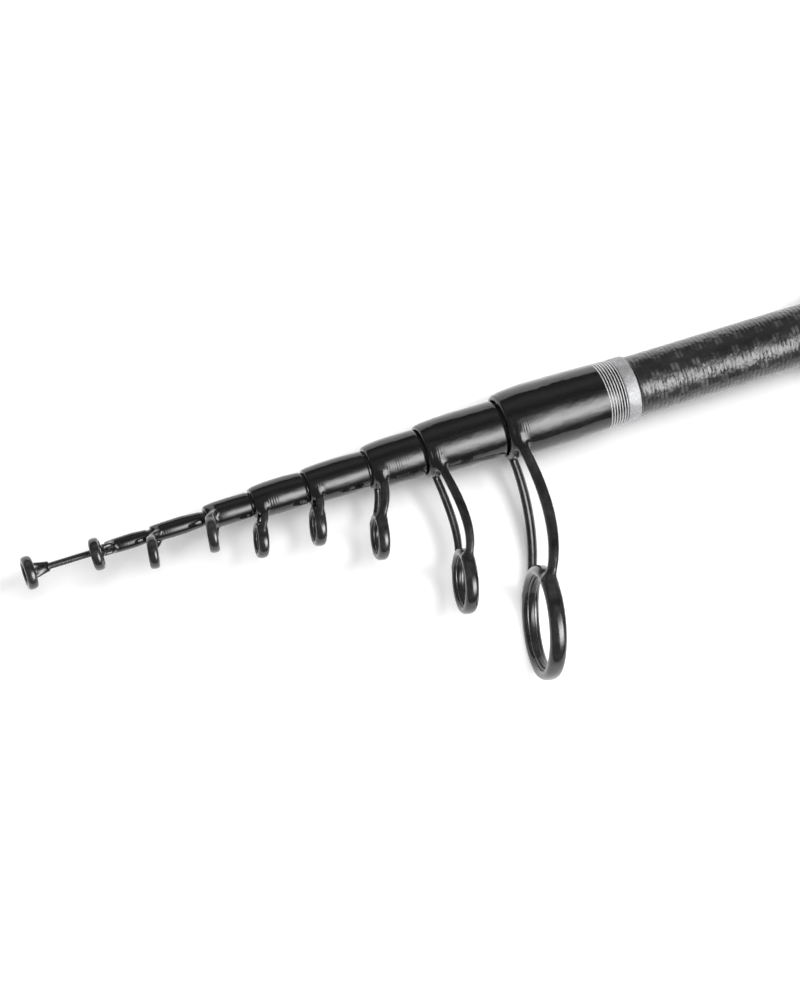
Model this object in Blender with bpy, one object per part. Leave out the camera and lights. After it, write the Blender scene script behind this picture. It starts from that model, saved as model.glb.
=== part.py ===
"""Telescopic fishing rod, pushed closed.

Nine nested sections, each with a line guide on its mouth, slide out of a butt with two grips and a reel
seat. The rod lies along X with its tip towards -X and its guides towards -Y. The origin is the middle of
the butt cap's end face. Sizes are in metres.
"""

import math
from dataclasses import dataclass

import bmesh
import bpy
from mathutils import Matrix, Vector

# Fits and small gaps
SLIDING_FIT = 0.00003  # a section's rear end in the mouth land that it jams in
GLUE_GAP = 0.00005  # a bonded sleeve, wrap or grip round its blank
SEAT_GAP = 0.0003  # two faces that meet
RUNNING_GAP = 0.0001  # the sliding hood and the lock nut round the reel seat
CUT_MARGIN = 0.002  # how far a cutting solid runs past what it cuts

# The closed rod, along its axis
BUTT_LENGTH = 0.315  # butt cap's end face to the butt's mouth
JOINT_OVERLAP = 0.030  # what stays inside when a section is drawn out
BLANK_SETBACK = 0.0025  # a blank's front end behind the mouth, against the sleeve's lip

# Butt
BUTT_BORE = 0.00695
BUTT_WALL = 0.00067
BUTT_WRAP_END = 0.0269  # measured back from the mouth
BUTT_WRAP_REAR_RADIUS = 0.0083
SILVER_THREAD_END = 0.0303
SILVER_THREAD_RADIUS = 0.0082
SILVER_BAND_START = 0.0307
SILVER_BAND_END = 0.0348
SILVER_BAND_RADIUS = 0.0082
TRIM_EDGE = 0.0002  # chamfer on the ends of bands and rings

# Tip section and its guide
TIP_RADIUS = 0.0008
TIP_STEP = 0.0192  # the second section's mouth to the tip ring's middle
TIP_TUBE_LENGTH = 0.0046
TIP_TUBE_RADIUS = 0.00110
TIP_TUBE_TO_RING = 0.0008  # the tube's closed end to the tip ring's middle
TIP_RING_RADIUS = 0.0041
TIP_RING_WIDTH = 0.0026
TIP_RING_DISTANCE = 0.0043
TIP_TWIST = -82.0
TIP_BRACE_RADIUS = 0.00065
TIP_BRACE_SPREAD = 24.0  # degrees each side of the ring's nearest point
TIP_BRACE_SIDES = 6
TIP_RIM = 0.00055
TIP_INSERT = 0.0008
TIP_RING_SIDES = 16
TIP_TUBE_NOSE = 0.7  # the tip tube's radius at its closed end, as a share of its full radius

# Guides, shared shape
RING_LEAN = 12.6  # degrees that a ring's plane leans towards the tip
LEG_RISE = 0.35  # the leg's curve, as shares of its own reach
LEG_SETTLE = 0.22
LEG_BACK_START = 0.05
LEG_BACK_END = 0.18
LEG_BOW_START = 0.05
LEG_BOW_END = 0.12
LEG_SINK = 0.00035  # how deep a leg's ends run into the sleeve and the ring
LEG_END_SHARE = 0.80  # a leg's width at its ends, as a share of its width in the middle
LEG_TURN = 28.0  # degrees that a leg's wide side turns outwards from the rod's direction
LEG_SIDES = 6
NOSE_STEPS = 3
NOSE_FULLNESS = 0.75  # under one makes the nose blunter
RIM_STEPS = 3
RIM_ROUNDING = 0.8  # share of the rim's thickness that its outer edge is rounded by
INSERT_LIP = 0.35  # share of an insert's depth that its lip falls by
INSERT_LAND = 0.70  # share of an insert's width that is straight inside
SHARP_ANGLE = 35.0  # degrees between faces from which an edge is drawn sharp

# Butt cap, its cushion and the collar that it screws on
CAP_RADIUS = 0.0120
CAP_FACE = 0.0025
CAP_LENGTH = 0.0140
CAP_EDGE = 0.0010
CAP_WAIST = 0.0006
CUSHION_THICKNESS = 0.0024
FERRULE_WALL = 0.0015
FERRULE_FRONT = 0.0138
CAP_THREAD_GAP = 0.00015

# Grips
REAR_GRIP_END = 0.1048
REAR_GRIP_RADIUS = 0.0119
REAR_GRIP_WAIST = 0.0108
GRIP_EDGE = 0.0012
REAR_GRIP_STEPS = 4
FORE_GRIP_STEPS = 3
FORE_GRIP_START = 0.2085
FORE_GRIP_END = 0.2240
FORE_GRIP_RADIUS = 0.0116
FORE_GRIP_NOSE = 0.0092
CHECK_LENGTH = 0.0030
CHECK_RADIUS = 0.0089
REAR_CHECK_RADIUS = 0.0115
CHECK_EDGE = 0.0004

# Reel seat: a bored cylinder with a flat for the reel's foot
SEAT_START = 0.1083
SEAT_END = 0.2082
SEAT_RADIUS = 0.0094
SEAT_FLAT = 0.0083  # axis to the flat
FOOT_BED_HEIGHT = 0.0004  # the pad that the foot rests on, above the flat
FOOT_BED_WIDTH = 0.0086
FOOT_BED_START = 0.1260
FOOT_BED_END = 0.1590
FIXED_HOOD_LENGTH = 0.0160
SLIDING_HOOD_START = 0.1680
SLIDING_HOOD_LENGTH = 0.0180
HOOD_WALL = 0.0016
HOOD_EDGE = 0.0005
HOOD_SWELL = 0.0040  # how far the hood's mouth is swollen towards the foot
HOOD_ROOF_GAIN = 0.0003  # how much the pocket thins the hood's wall at its roof
HOOD_POCKET_DEPTH = 0.0120
HOOD_POCKET_WIDTH = 0.0124
HOOD_POCKET_STEPS = 6
HOOD_POCKET_SINK = 0.0016  # how far the pocket's cutting solid reaches below the flat
HOOD_SHOULDER = 0.92  # share of the swell left at the pocket's inner end
HOOD_HEEL = 0.1  # share of the swell left at the hood's back edge
FOOT_BED_SINK = 0.0004
NUT_LENGTH = 0.0080
NUT_RADIUS = 0.0116
NUT_RIB_HEIGHT = 0.0005
NUT_RIBS = 16
NUT_SHARP_ANGLE = 20.0
NUT_EDGE = 0.0008

TUBE_SIDES = 24
SMALL_TUBE_SIDES = 12
SMALL_TUBE_BORE = 0.0022  # blanks with a bore under this have the smaller number of sides


@dataclass
class Section:
    """One telescoping section and the guide on its mouth. Lengths run back from the section's mouth."""

    number: int
    step: float  # the next larger section's mouth to this one's
    bore: float
    wall: float
    nose_radius: float
    nose_length: float
    sleeve_radius: float
    sleeve_rear_radius: float
    sleeve_length: float
    wrap_rear_radius: float
    twist: float  # degrees that the guide points below level
    ring_distance: float
    ring_forward: float
    ring_radius: float
    ring_width: float
    rim: float
    insert: float
    leg_back: float
    leg_angle: float
    leg_spread: float
    leg_width: float
    leg_thickness: float
    ring_sides: int
    leg_rings: int
    bare_length: float = 0.0  # blank between the wrap and the next larger mouth


BUTT = Section(
    number=9,
    step=BUTT_LENGTH,
    bore=BUTT_BORE,
    wall=BUTT_WALL,
    nose_radius=0.0073,
    nose_length=0.0060,
    sleeve_radius=0.00877,
    sleeve_rear_radius=0.00868,
    sleeve_length=0.0140,
    wrap_rear_radius=BUTT_WRAP_REAR_RADIUS,
    twist=-2.3,
    ring_distance=0.0486,
    ring_forward=0.0056,
    ring_radius=0.0141,
    ring_width=0.0036,
    rim=0.0011,
    insert=0.0012,
    leg_back=0.0033,
    leg_angle=61.0,
    leg_spread=42.0,
    leg_width=0.0029,
    leg_thickness=0.0019,
    ring_sides=28,
    leg_rings=7,
)

# From the largest sliding section to the second
SECTIONS = [
    Section(
        number=8,
        step=0.0207,
        bore=0.0056,
        wall=0.0005,
        nose_radius=0.0060,
        nose_length=0.0080,
        sleeve_radius=0.0071,
        sleeve_rear_radius=0.00705,
        sleeve_length=0.0130,
        wrap_rear_radius=0.0070,
        twist=-2.3,
        ring_distance=0.0332,
        ring_forward=0.0,
        ring_radius=0.0081,
        ring_width=0.0028,
        rim=0.0008,
        insert=0.0009,
        leg_back=0.0038,
        leg_angle=54.0,
        leg_spread=42.0,
        leg_width=0.0024,
        leg_thickness=0.0016,
        ring_sides=20,
        leg_rings=6,
    ),
    Section(
        number=7,
        step=0.0140,
        bore=0.0043,
        wall=0.0006,
        nose_radius=0.0047,
        nose_length=0.0060,
        sleeve_radius=0.00587,
        sleeve_rear_radius=0.00585,
        sleeve_length=0.0090,
        wrap_rear_radius=0.0058,
        twist=0.0,
        ring_distance=0.0166,
        ring_forward=0.0021,
        ring_radius=0.0059,
        ring_width=0.0024,
        rim=0.0007,
        insert=0.0008,
        leg_back=0.0020,
        leg_angle=52.0,
        leg_spread=46.0,
        leg_width=0.0022,
        leg_thickness=0.0015,
        ring_sides=18,
        leg_rings=5,
    ),
    Section(
        number=6,
        step=0.0157,
        bore=0.0036,
        wall=0.00045,
        nose_radius=0.0040,
        nose_length=0.0050,
        sleeve_radius=0.0047,
        sleeve_rear_radius=0.0047,
        sleeve_length=0.0095,
        wrap_rear_radius=0.00445,
        twist=3.0,
        ring_distance=0.0097,
        ring_forward=-0.0001,
        ring_radius=0.0050,
        ring_width=0.0023,
        rim=0.0006,
        insert=0.0007,
        leg_back=0.0018,
        leg_angle=58.0,
        leg_spread=52.0,
        leg_width=0.0019,
        leg_thickness=0.0013,
        ring_sides=16,
        leg_rings=4,
    ),
    Section(
        number=5,
        step=0.0137,
        bore=0.00275,
        wall=0.00045,
        nose_radius=0.0032,
        nose_length=0.0050,
        sleeve_radius=0.0042,
        sleeve_rear_radius=0.0042,
        sleeve_length=0.0085,
        wrap_rear_radius=0.0039,
        twist=3.0,
        ring_distance=0.0089,
        ring_forward=0.0004,
        ring_radius=0.00445,
        ring_width=0.0022,
        rim=0.0006,
        insert=0.0006,
        leg_back=0.0018,
        leg_angle=58.0,
        leg_spread=54.0,
        leg_width=0.0018,
        leg_thickness=0.0013,
        ring_sides=16,
        leg_rings=4,
    ),
    Section(
        number=4,
        step=0.0116,
        bore=0.00195,
        wall=0.00045,
        nose_radius=0.0025,
        nose_length=0.0040,
        sleeve_radius=0.00317,
        sleeve_rear_radius=0.00315,
        sleeve_length=0.0075,
        wrap_rear_radius=0.00306,
        twist=-46.0,
        ring_distance=0.0069,
        ring_forward=0.0005,
        ring_radius=0.00445,
        ring_width=0.0021,
        rim=0.0006,
        insert=0.0006,
        leg_back=0.0015,
        leg_angle=58.0,
        leg_spread=58.0,
        leg_width=0.0017,
        leg_thickness=0.0012,
        ring_sides=16,
        leg_rings=4,
    ),
    Section(
        number=3,
        step=0.0135,
        bore=0.00138,
        wall=0.00032,
        nose_radius=0.0018,
        nose_length=0.0040,
        sleeve_radius=0.00215,
        sleeve_rear_radius=0.00215,
        sleeve_length=0.0080,
        wrap_rear_radius=0.0018,
        bare_length=0.0008,
        twist=-45.0,
        ring_distance=0.0065,
        ring_forward=0.0016,
        ring_radius=0.00405,
        ring_width=0.0020,
        rim=0.0005,
        insert=0.0006,
        leg_back=0.0012,
        leg_angle=56.0,
        leg_spread=30.0,
        leg_width=0.0013,
        leg_thickness=0.0010,
        ring_sides=16,
        leg_rings=4,
    ),
    Section(
        number=2,
        step=0.0113,
        bore=0.00098,
        wall=0.00032,
        nose_radius=0.0014,
        nose_length=0.0040,
        sleeve_radius=0.0018,
        sleeve_rear_radius=0.0018,
        sleeve_length=0.0070,
        wrap_rear_radius=0.0015,
        bare_length=0.0006,
        twist=-78.0,
        ring_distance=0.0062,
        ring_forward=0.0032,
        ring_radius=0.0040,
        ring_width=0.0020,
        rim=0.0005,
        insert=0.0006,
        leg_back=0.0012,
        leg_angle=56.0,
        leg_spread=24.0,
        leg_width=0.0012,
        leg_thickness=0.0010,
        ring_sides=16,
        leg_rings=4,
    ),
]


def material(name, colour, roughness, metallic=0.0, coat=0.0):
    """A plain Principled surface."""
    made = bpy.data.materials.new(name)
    made.use_nodes = True
    shader = made.node_tree.nodes["Principled BSDF"]
    shader.inputs["Base Color"].default_value = (*colour, 1.0)
    shader.inputs["Roughness"].default_value = roughness
    shader.inputs["Metallic"].default_value = metallic
    shader.inputs["Coat Weight"].default_value = coat
    made.diffuse_color = (*colour, 1.0)
    return made


def clear_scene():
    for thing in list(bpy.data.objects):
        bpy.data.objects.remove(thing, do_unlink=True)


def add_object(name, bm, finish, parent=None, sharp=SHARP_ANGLE):
    """Turns a bmesh into an object that is smooth apart from its sharp edges."""
    mesh = bpy.data.meshes.new(name)
    bm.to_mesh(mesh)
    bm.free()
    mesh.shade_smooth()
    mesh.set_sharp_from_angle(angle=math.radians(sharp))
    piece = bpy.data.objects.new(name, mesh)
    bpy.context.scene.collection.objects.link(piece)
    if finish is not None:
        mesh.materials.append(finish)
    piece.parent = parent
    return piece


def add_empty(name, x, parent=None):
    """A joint's place on the rod's axis."""
    empty = bpy.data.objects.new(name, None)
    bpy.context.scene.collection.objects.link(empty)
    empty.location = (x, 0.0, 0.0)
    empty.parent = parent
    return empty


def turned(outline, sides, closed=True):
    """Spins (x, radius) points round the X axis. An outline that starts and ends on the axis isn't closed."""
    bm = bmesh.new()
    points = [bm.verts.new((x, -radius, 0.0)) for x, radius in outline]
    ends = list(zip(points, points[1:]))
    if closed:
        ends.append((points[-1], points[0]))
    edges = [bm.edges.new(pair) for pair in ends]
    bmesh.ops.spin(
        bm,
        geom=points + edges,
        cent=(0, 0, 0),
        axis=(1, 0, 0),
        angle=2 * math.pi,
        steps=sides,
        use_merge=True,
    )
    bmesh.ops.remove_doubles(bm, verts=bm.verts, dist=1e-7)
    bmesh.ops.recalc_face_normals(bm, faces=bm.faces)
    return bm


def plug(start, end, radius, sides):
    """A solid cylinder along X."""
    return turned([(start, 0.0), (start, radius), (end, radius), (end, 0.0)], sides, closed=False)


def plain_ring(start, end, inner, outer):
    """A straight ring along X."""
    return turned([(start, inner), (start, outer), (end, outer), (end, inner)], TUBE_SIDES)


def chamfered_ring(start, end, inner, outer, edge):
    """A ring along X with its outer edges broken."""
    outline = [
        (start, inner),
        (start, outer - edge),
        (start + edge, outer),
        (end - edge, outer),
        (end, outer - edge),
        (end, inner),
    ]
    return turned(outline, TUBE_SIDES)


def lofted(rings):
    """Skins a run of rings of points, each with the same number, and closes both ends."""
    bm = bmesh.new()
    loops = [[bm.verts.new(point) for point in ring] for ring in rings]
    for low, high in zip(loops, loops[1:]):
        for i, corner in enumerate(low):
            j = (i + 1) % len(low)
            bm.faces.new((corner, low[j], high[j], high[i]))
    bm.faces.new(list(reversed(loops[0])))
    bm.faces.new(loops[-1])
    bmesh.ops.recalc_face_normals(bm, faces=bm.faces)
    return bm


def helper(name, bm, parent):
    """A solid that only adds to or cuts another, in the same place as it."""
    piece = add_object(name, bm, None, parent)
    piece.hide_render = True
    piece.display_type = "WIRE"
    return piece


def combine(piece, added, cut):
    """Adds and cuts solids, then keeps the result as the piece's own mesh and drops the helpers."""
    for kind, solids in (("UNION", added), ("DIFFERENCE", cut)):
        for i, solid in enumerate(solids):
            modifier = piece.modifiers.new(f"{kind.lower()}_{i}", "BOOLEAN")
            modifier.operation = kind
            # The exact solver leaves open edges where the thin legs meet the small rings.
            modifier.solver = "MANIFOLD"
            name = f"{piece.name}_{kind.lower()}_{i}"
            modifier.object = helper(name, solid, piece.parent)
    bpy.context.view_layer.update()
    graph = bpy.context.evaluated_depsgraph_get()
    result = bpy.data.meshes.new_from_object(piece.evaluated_get(graph), depsgraph=graph)
    helpers = [modifier.object for modifier in piece.modifiers]
    piece.modifiers.clear()
    old = piece.data
    piece.data = result
    bpy.data.meshes.remove(old)
    result.name = piece.name
    for solid in helpers:
        bpy.data.objects.remove(solid, do_unlink=True)
    result.shade_smooth()
    result.set_sharp_from_angle(angle=math.radians(SHARP_ANGLE))
    return piece


def tube_sides(section):
    return SMALL_TUBE_SIDES if section.bore < SMALL_TUBE_BORE else TUBE_SIDES


def rear_stop():
    """Distance from the butt's end face to the plane where every section's rear end rests."""
    return CAP_FACE + SEAT_GAP + CUSHION_THICKNESS + SEAT_GAP


def mouth_distances():
    """Each section's mouth from the butt's end face, by number."""
    distance = {BUTT.number: BUTT_LENGTH}
    at = BUTT_LENGTH
    for section in SECTIONS:
        at += section.step
        distance[section.number] = at
    return distance


MOUTH = mouth_distances()


def blank_length(section):
    return MOUTH[section.number] - BLANK_SETBACK - rear_stop()


def rear_radius(parent):
    """The outer radius of the rear end of the section that slides in a parent."""
    return parent.bore - SLIDING_FIT


def blank_radius(section, parent, back):
    """Outer radius at a distance back from the section's mouth."""
    front = section.bore + section.wall
    run = blank_length(section) - JOINT_OVERLAP
    share = (back - BLANK_SETBACK) / run
    return front + (rear_radius(parent) - front) * max(0.0, min(1.0, share))


def nose_outline(section):
    """(back, radius) points of the bullet nose, from the mouth's edge to the sleeve's full radius."""
    swell = section.sleeve_radius - section.nose_radius
    points = []
    for i in range(NOSE_STEPS + 1):
        turn = math.pi / 2 * i / NOSE_STEPS
        back = section.nose_length * (1 - math.cos(turn))
        points.append((back, section.nose_radius + swell * math.sin(turn) ** NOSE_FULLNESS))
    return points


def sleeve_radius_at(section, back):
    """Outer radius of the sleeve at a distance back from its mouth."""
    points = nose_outline(section) + [(section.sleeve_length, section.sleeve_rear_radius)]
    for (near, low), (far, high) in zip(points, points[1:]):
        if back <= far:
            return low + (high - low) * (back - near) / (far - near)
    return section.sleeve_rear_radius


def guide_point(section, back, out, side):
    """A point in the guide's own directions: back along the rod, out towards the ring, and to the side."""
    turn = Matrix.Rotation(math.radians(section.twist), 3, "X")
    return turn @ Vector((back, -out, side))


def ring_matrix(section):
    """Places a ring turned round X at the guide's ring."""
    turn = Matrix.Rotation(math.radians(section.twist), 4, "X")
    move = Matrix.Translation((-section.ring_forward, -section.ring_distance, 0.0))
    lean = Matrix.Rotation(-math.radians(RING_LEAN), 4, "Z")
    return turn @ move @ lean


def ring_point(section, radius, angle):
    """(back, out, side) of a point on the ring, at an angle from where it is nearest the rod."""
    lean = math.radians(RING_LEAN)
    rise = radius * math.cos(angle)
    back = -section.ring_forward + rise * math.sin(lean)
    out = section.ring_distance - rise * math.cos(lean)
    return Vector((back, out, radius * math.sin(angle)))


def leg_line(section, side):
    """Points along one leg, from the sleeve's flank to the ring's shoulder."""
    angle = math.radians(section.leg_angle)
    root_radius = sleeve_radius_at(section, section.leg_back) - LEG_SINK
    root = Vector((section.leg_back, root_radius * math.cos(angle), root_radius * math.sin(angle)))
    seat_radius = section.ring_radius - section.rim / 2
    end = ring_point(section, seat_radius, math.radians(section.leg_spread))
    reach = (end - root).length
    first = root + reach * Vector((LEG_BACK_START, LEG_RISE, LEG_BOW_START))
    last = end + reach * Vector((LEG_BACK_END, -LEG_SETTLE, LEG_BOW_END))
    line = []
    for i in range(section.leg_rings):
        t = i / (section.leg_rings - 1)
        s = 1 - t
        point = s**3 * root + 3 * s * s * t * first + 3 * s * t * t * last + t**3 * end
        line.append(Vector((point.x, point.y, side * point.z)))
    return line


def leg(section, side):
    """One leg: an oval bar that swells in the middle of its length."""
    line = leg_line(section, side)
    rings = []
    for i, point in enumerate(line):
        along = (line[min(i + 1, len(line) - 1)] - line[max(i - 1, 0)]).normalized()
        across = Vector((1, 0, 0)) - along * along.x
        across.normalize()
        across = Matrix.Rotation(-side * math.radians(LEG_TURN), 3, along) @ across
        through = along.cross(across)
        t = i / (len(line) - 1)
        swell = LEG_END_SHARE + (1 - LEG_END_SHARE) * math.sin(math.pi * t)
        ring = []
        for k in range(LEG_SIDES):
            turn = 2 * math.pi * (k + 0.5) / LEG_SIDES
            offset = across * (math.cos(turn) * section.leg_width / 2 * swell)
            offset += through * (math.sin(turn) * section.leg_thickness / 2 * swell)
            at = point + offset
            ring.append(guide_point(section, at.x, at.y, at.z))
        rings.append(ring)
    return lofted(rings)


def ring_blank(section):
    """The guide's rim before it is bored: a disc with a rounded edge."""
    half = section.ring_width / 2
    round_off = section.rim * RIM_ROUNDING
    outline = [(-half, 0.0), (-half, section.ring_radius - round_off)]
    for i in range(1, RIM_STEPS):
        turn = math.pi * i / RIM_STEPS
        outline.append(
            (-half * math.cos(turn), section.ring_radius - round_off * (1 - math.sin(turn)))
        )
    outline += [(half, section.ring_radius - round_off), (half, 0.0)]
    bm = turned(outline, section.ring_sides, closed=False)
    bmesh.ops.transform(bm, matrix=ring_matrix(section), verts=bm.verts)
    return bm


def ring_bore(section):
    """What the rim's hole for the insert takes away."""
    reach = section.ring_width / 2 + CUT_MARGIN
    bm = plug(-reach, reach, section.ring_radius - section.rim, section.ring_sides)
    bmesh.ops.transform(bm, matrix=ring_matrix(section), verts=bm.verts)
    return bm


def add_guide_frame(section, parent_section, finish, joint):
    """Sleeve, two legs and ring rim as one piece."""
    outline = [(0.0, 0.0)] + nose_outline(section)
    outline += [
        (section.sleeve_length, section.sleeve_rear_radius),
        (section.sleeve_length, 0.0),
    ]
    sleeve = turned(outline, tube_sides(section), closed=False)
    piece = add_object(f"guide_{section.number}_frame", sleeve, finish, joint)
    if parent_section is None:
        seat = section.bore + section.wall
    else:
        seat = blank_radius(section, parent_section, section.sleeve_length)
    bore = turned(
        [
            (-CUT_MARGIN, 0.0),
            (-CUT_MARGIN, section.bore),
            (BLANK_SETBACK - SEAT_GAP, section.bore),
            (BLANK_SETBACK - SEAT_GAP, seat + GLUE_GAP),
            (section.sleeve_length + CUT_MARGIN, seat + GLUE_GAP),
            (section.sleeve_length + CUT_MARGIN, 0.0),
        ],
        tube_sides(section),
        closed=False,
    )
    added = [leg(section, 1), leg(section, -1), ring_blank(section)]
    return combine(piece, added, [ring_bore(section), bore])


def insert_outline(radius, inner, width):
    """A ceramic ring: straight outside, rounded where the line runs."""
    half = width / 2
    depth = radius - inner
    return [
        (-half, radius),
        (-half, radius - depth * INSERT_LIP),
        (-half * INSERT_LAND, inner),
        (half * INSERT_LAND, inner),
        (half, radius - depth * INSERT_LIP),
        (half, radius),
    ]


def add_guide_insert(section, finish, joint):
    seat = section.ring_radius - section.rim - GLUE_GAP
    outline = insert_outline(seat, seat - section.insert, section.ring_width + 2 * SEAT_GAP)
    bm = turned(outline, section.ring_sides)
    bmesh.ops.transform(bm, matrix=ring_matrix(section), verts=bm.verts)
    return add_object(f"guide_{section.number}_insert", bm, finish, joint)


def add_blank(section, parent_section, finish, joint):
    """A tapered tube with a straight land at its mouth and a straight rear end."""
    length = blank_length(section)
    front = section.bore + section.wall
    rear = rear_radius(parent_section)
    back_end = BLANK_SETBACK + length
    outline = [
        (BLANK_SETBACK, section.bore),
        (BLANK_SETBACK, front),
        (back_end - JOINT_OVERLAP, rear),
        (back_end, rear),
        (back_end, rear - section.wall),
        (BLANK_SETBACK + JOINT_OVERLAP, section.bore),
    ]
    bm = turned(outline, tube_sides(section))
    return add_object(f"section_{section.number}_blank", bm, finish, joint)


def add_wrap(section, parent_section, finish, joint):
    """The lacquered winding behind the sleeve, as far as the next larger mouth."""
    start = section.sleeve_length + GLUE_GAP
    end = section.step - SEAT_GAP - section.bare_length
    inner = blank_radius(section, parent_section, end) + GLUE_GAP
    outline = [
        (start, inner),
        (start, section.sleeve_rear_radius),
        (end, section.wrap_rear_radius),
        (end, inner),
    ]
    wrap = turned(outline, tube_sides(section))
    return add_object(f"section_{section.number}_wrap", wrap, finish, joint)


def add_tip(parent_section, carbon, metal, ceramic, joint):
    """The solid tip and its guide. Lengths run back from the middle of the tip ring."""
    tube_front = TIP_TUBE_TO_RING
    tube_back = tube_front + TIP_TUBE_LENGTH
    tip_front = tube_front + TIP_RING_WIDTH / 2
    rear = MOUTH[2] + TIP_STEP - rear_stop()
    rear_end_radius = rear_radius(parent_section)
    outline = [
        (tip_front, 0.0),
        (tip_front, TIP_RADIUS),
        (tube_back, TIP_RADIUS),
        (rear - JOINT_OVERLAP, rear_end_radius),
        (rear, rear_end_radius),
        (rear, 0.0),
    ]
    add_object("section_1_blank", turned(outline, SMALL_TUBE_SIDES, closed=False), carbon, joint)

    place = Matrix.Rotation(math.radians(TIP_TWIST), 4, "X")
    place = place @ Matrix.Translation((0.0, -TIP_RING_DISTANCE, 0.0))
    half = TIP_RING_WIDTH / 2
    disc = turned(
        [
            (-half, 0.0),
            (-half, TIP_RING_RADIUS - TIP_RIM),
            (-half / 2, TIP_RING_RADIUS),
            (half / 2, TIP_RING_RADIUS),
            (half, TIP_RING_RADIUS - TIP_RIM),
            (half, 0.0),
        ],
        TIP_RING_SIDES,
        closed=False,
    )
    bmesh.ops.transform(disc, matrix=place, verts=disc.verts)
    reach = half + CUT_MARGIN
    hole = plug(-reach, reach, TIP_RING_RADIUS - TIP_RIM, TIP_RING_SIDES)
    bmesh.ops.transform(hole, matrix=place, verts=hole.verts)
    tube = turned(
        [
            (tube_front, 0.0),
            (tube_front, TIP_TUBE_RADIUS * TIP_TUBE_NOSE),
            (tube_front + TIP_TUBE_RADIUS / 2, TIP_TUBE_RADIUS),
            (tube_back, TIP_TUBE_RADIUS),
            (tube_back, 0.0),
        ],
        SMALL_TUBE_SIDES,
        closed=False,
    )
    socket = plug(
        tip_front - SEAT_GAP, tube_back + CUT_MARGIN, TIP_RADIUS + GLUE_GAP, SMALL_TUBE_SIDES
    )
    frame = add_object("tip_top_frame", tube, metal, joint)
    braces = [tip_brace(1, tube_back), tip_brace(-1, tube_back)]
    combine(frame, [disc, *braces], [hole, socket])

    seat = TIP_RING_RADIUS - TIP_RIM - GLUE_GAP
    outline = insert_outline(seat, seat - TIP_INSERT, TIP_RING_WIDTH + SEAT_GAP)
    insert = turned(outline, TIP_RING_SIDES)
    bmesh.ops.transform(insert, matrix=place, verts=insert.verts)
    add_object("tip_top_insert", insert, ceramic, joint)


def tip_brace(side, tube_back):
    """A strut from the tip tube's flank to the tip ring's side."""
    turn = Matrix.Rotation(math.radians(TIP_TWIST), 3, "X")
    spread = math.radians(TIP_BRACE_SPREAD)
    radius = TIP_RING_RADIUS - TIP_RIM / 2
    root = Vector((tube_back - TIP_TUBE_RADIUS, 0.0, side * TIP_TUBE_RADIUS * TIP_TUBE_NOSE))
    end = Vector(
        (0.0, -TIP_RING_DISTANCE + radius * math.cos(spread), side * radius * math.sin(spread))
    )
    along = (end - root).normalized()
    across = along.cross(Vector((0, 1, 0))).normalized()
    through = along.cross(across)
    rings = []
    for share in (0.0, 0.5, 1.0):
        centre = root.lerp(end, share)
        ring = []
        for k in range(TIP_BRACE_SIDES):
            angle = 2 * math.pi * (k + 0.5) / TIP_BRACE_SIDES
            offset = across * math.cos(angle) + through * math.sin(angle)
            ring.append(turn @ (centre + offset * TIP_BRACE_RADIUS))
        rings.append(ring)
    return lofted(rings)


def add_butt_front(carbon, lacquer, metal, ceramic, silver, root):
    """The butt's blank, its guide, and the winding and bands behind the guide."""
    outer = BUTT.bore + BUTT.wall
    mouth = -BUTT_LENGTH
    front = mouth + BLANK_SETBACK
    blank = turned(
        [
            (front, BUTT.bore),
            (front, outer),
            (-rear_stop(), outer),
            (-rear_stop(), BUTT.bore),
        ],
        TUBE_SIDES,
    )
    add_object("butt_blank", blank, carbon, root)
    at_mouth = add_empty("butt_mouth", mouth, root)
    add_guide_frame(BUTT, None, metal, at_mouth)
    add_guide_insert(BUTT, ceramic, at_mouth)
    seat = outer + GLUE_GAP
    start = BUTT.sleeve_length + GLUE_GAP
    wrap = turned(
        [
            (start, seat),
            (start, BUTT.sleeve_rear_radius),
            (BUTT_WRAP_END, BUTT_WRAP_REAR_RADIUS),
            (BUTT_WRAP_END, seat),
        ],
        TUBE_SIDES,
    )
    add_object("butt_wrap", wrap, lacquer, at_mouth)
    threads = plain_ring(BUTT_WRAP_END + GLUE_GAP, SILVER_THREAD_END, seat, SILVER_THREAD_RADIUS)
    add_object("silver_winding", threads, silver, at_mouth)
    band = chamfered_ring(SILVER_BAND_START, SILVER_BAND_END, seat, SILVER_BAND_RADIUS, TRIM_EDGE)
    add_object("silver_band", band, silver, at_mouth)
    return at_mouth


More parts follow.
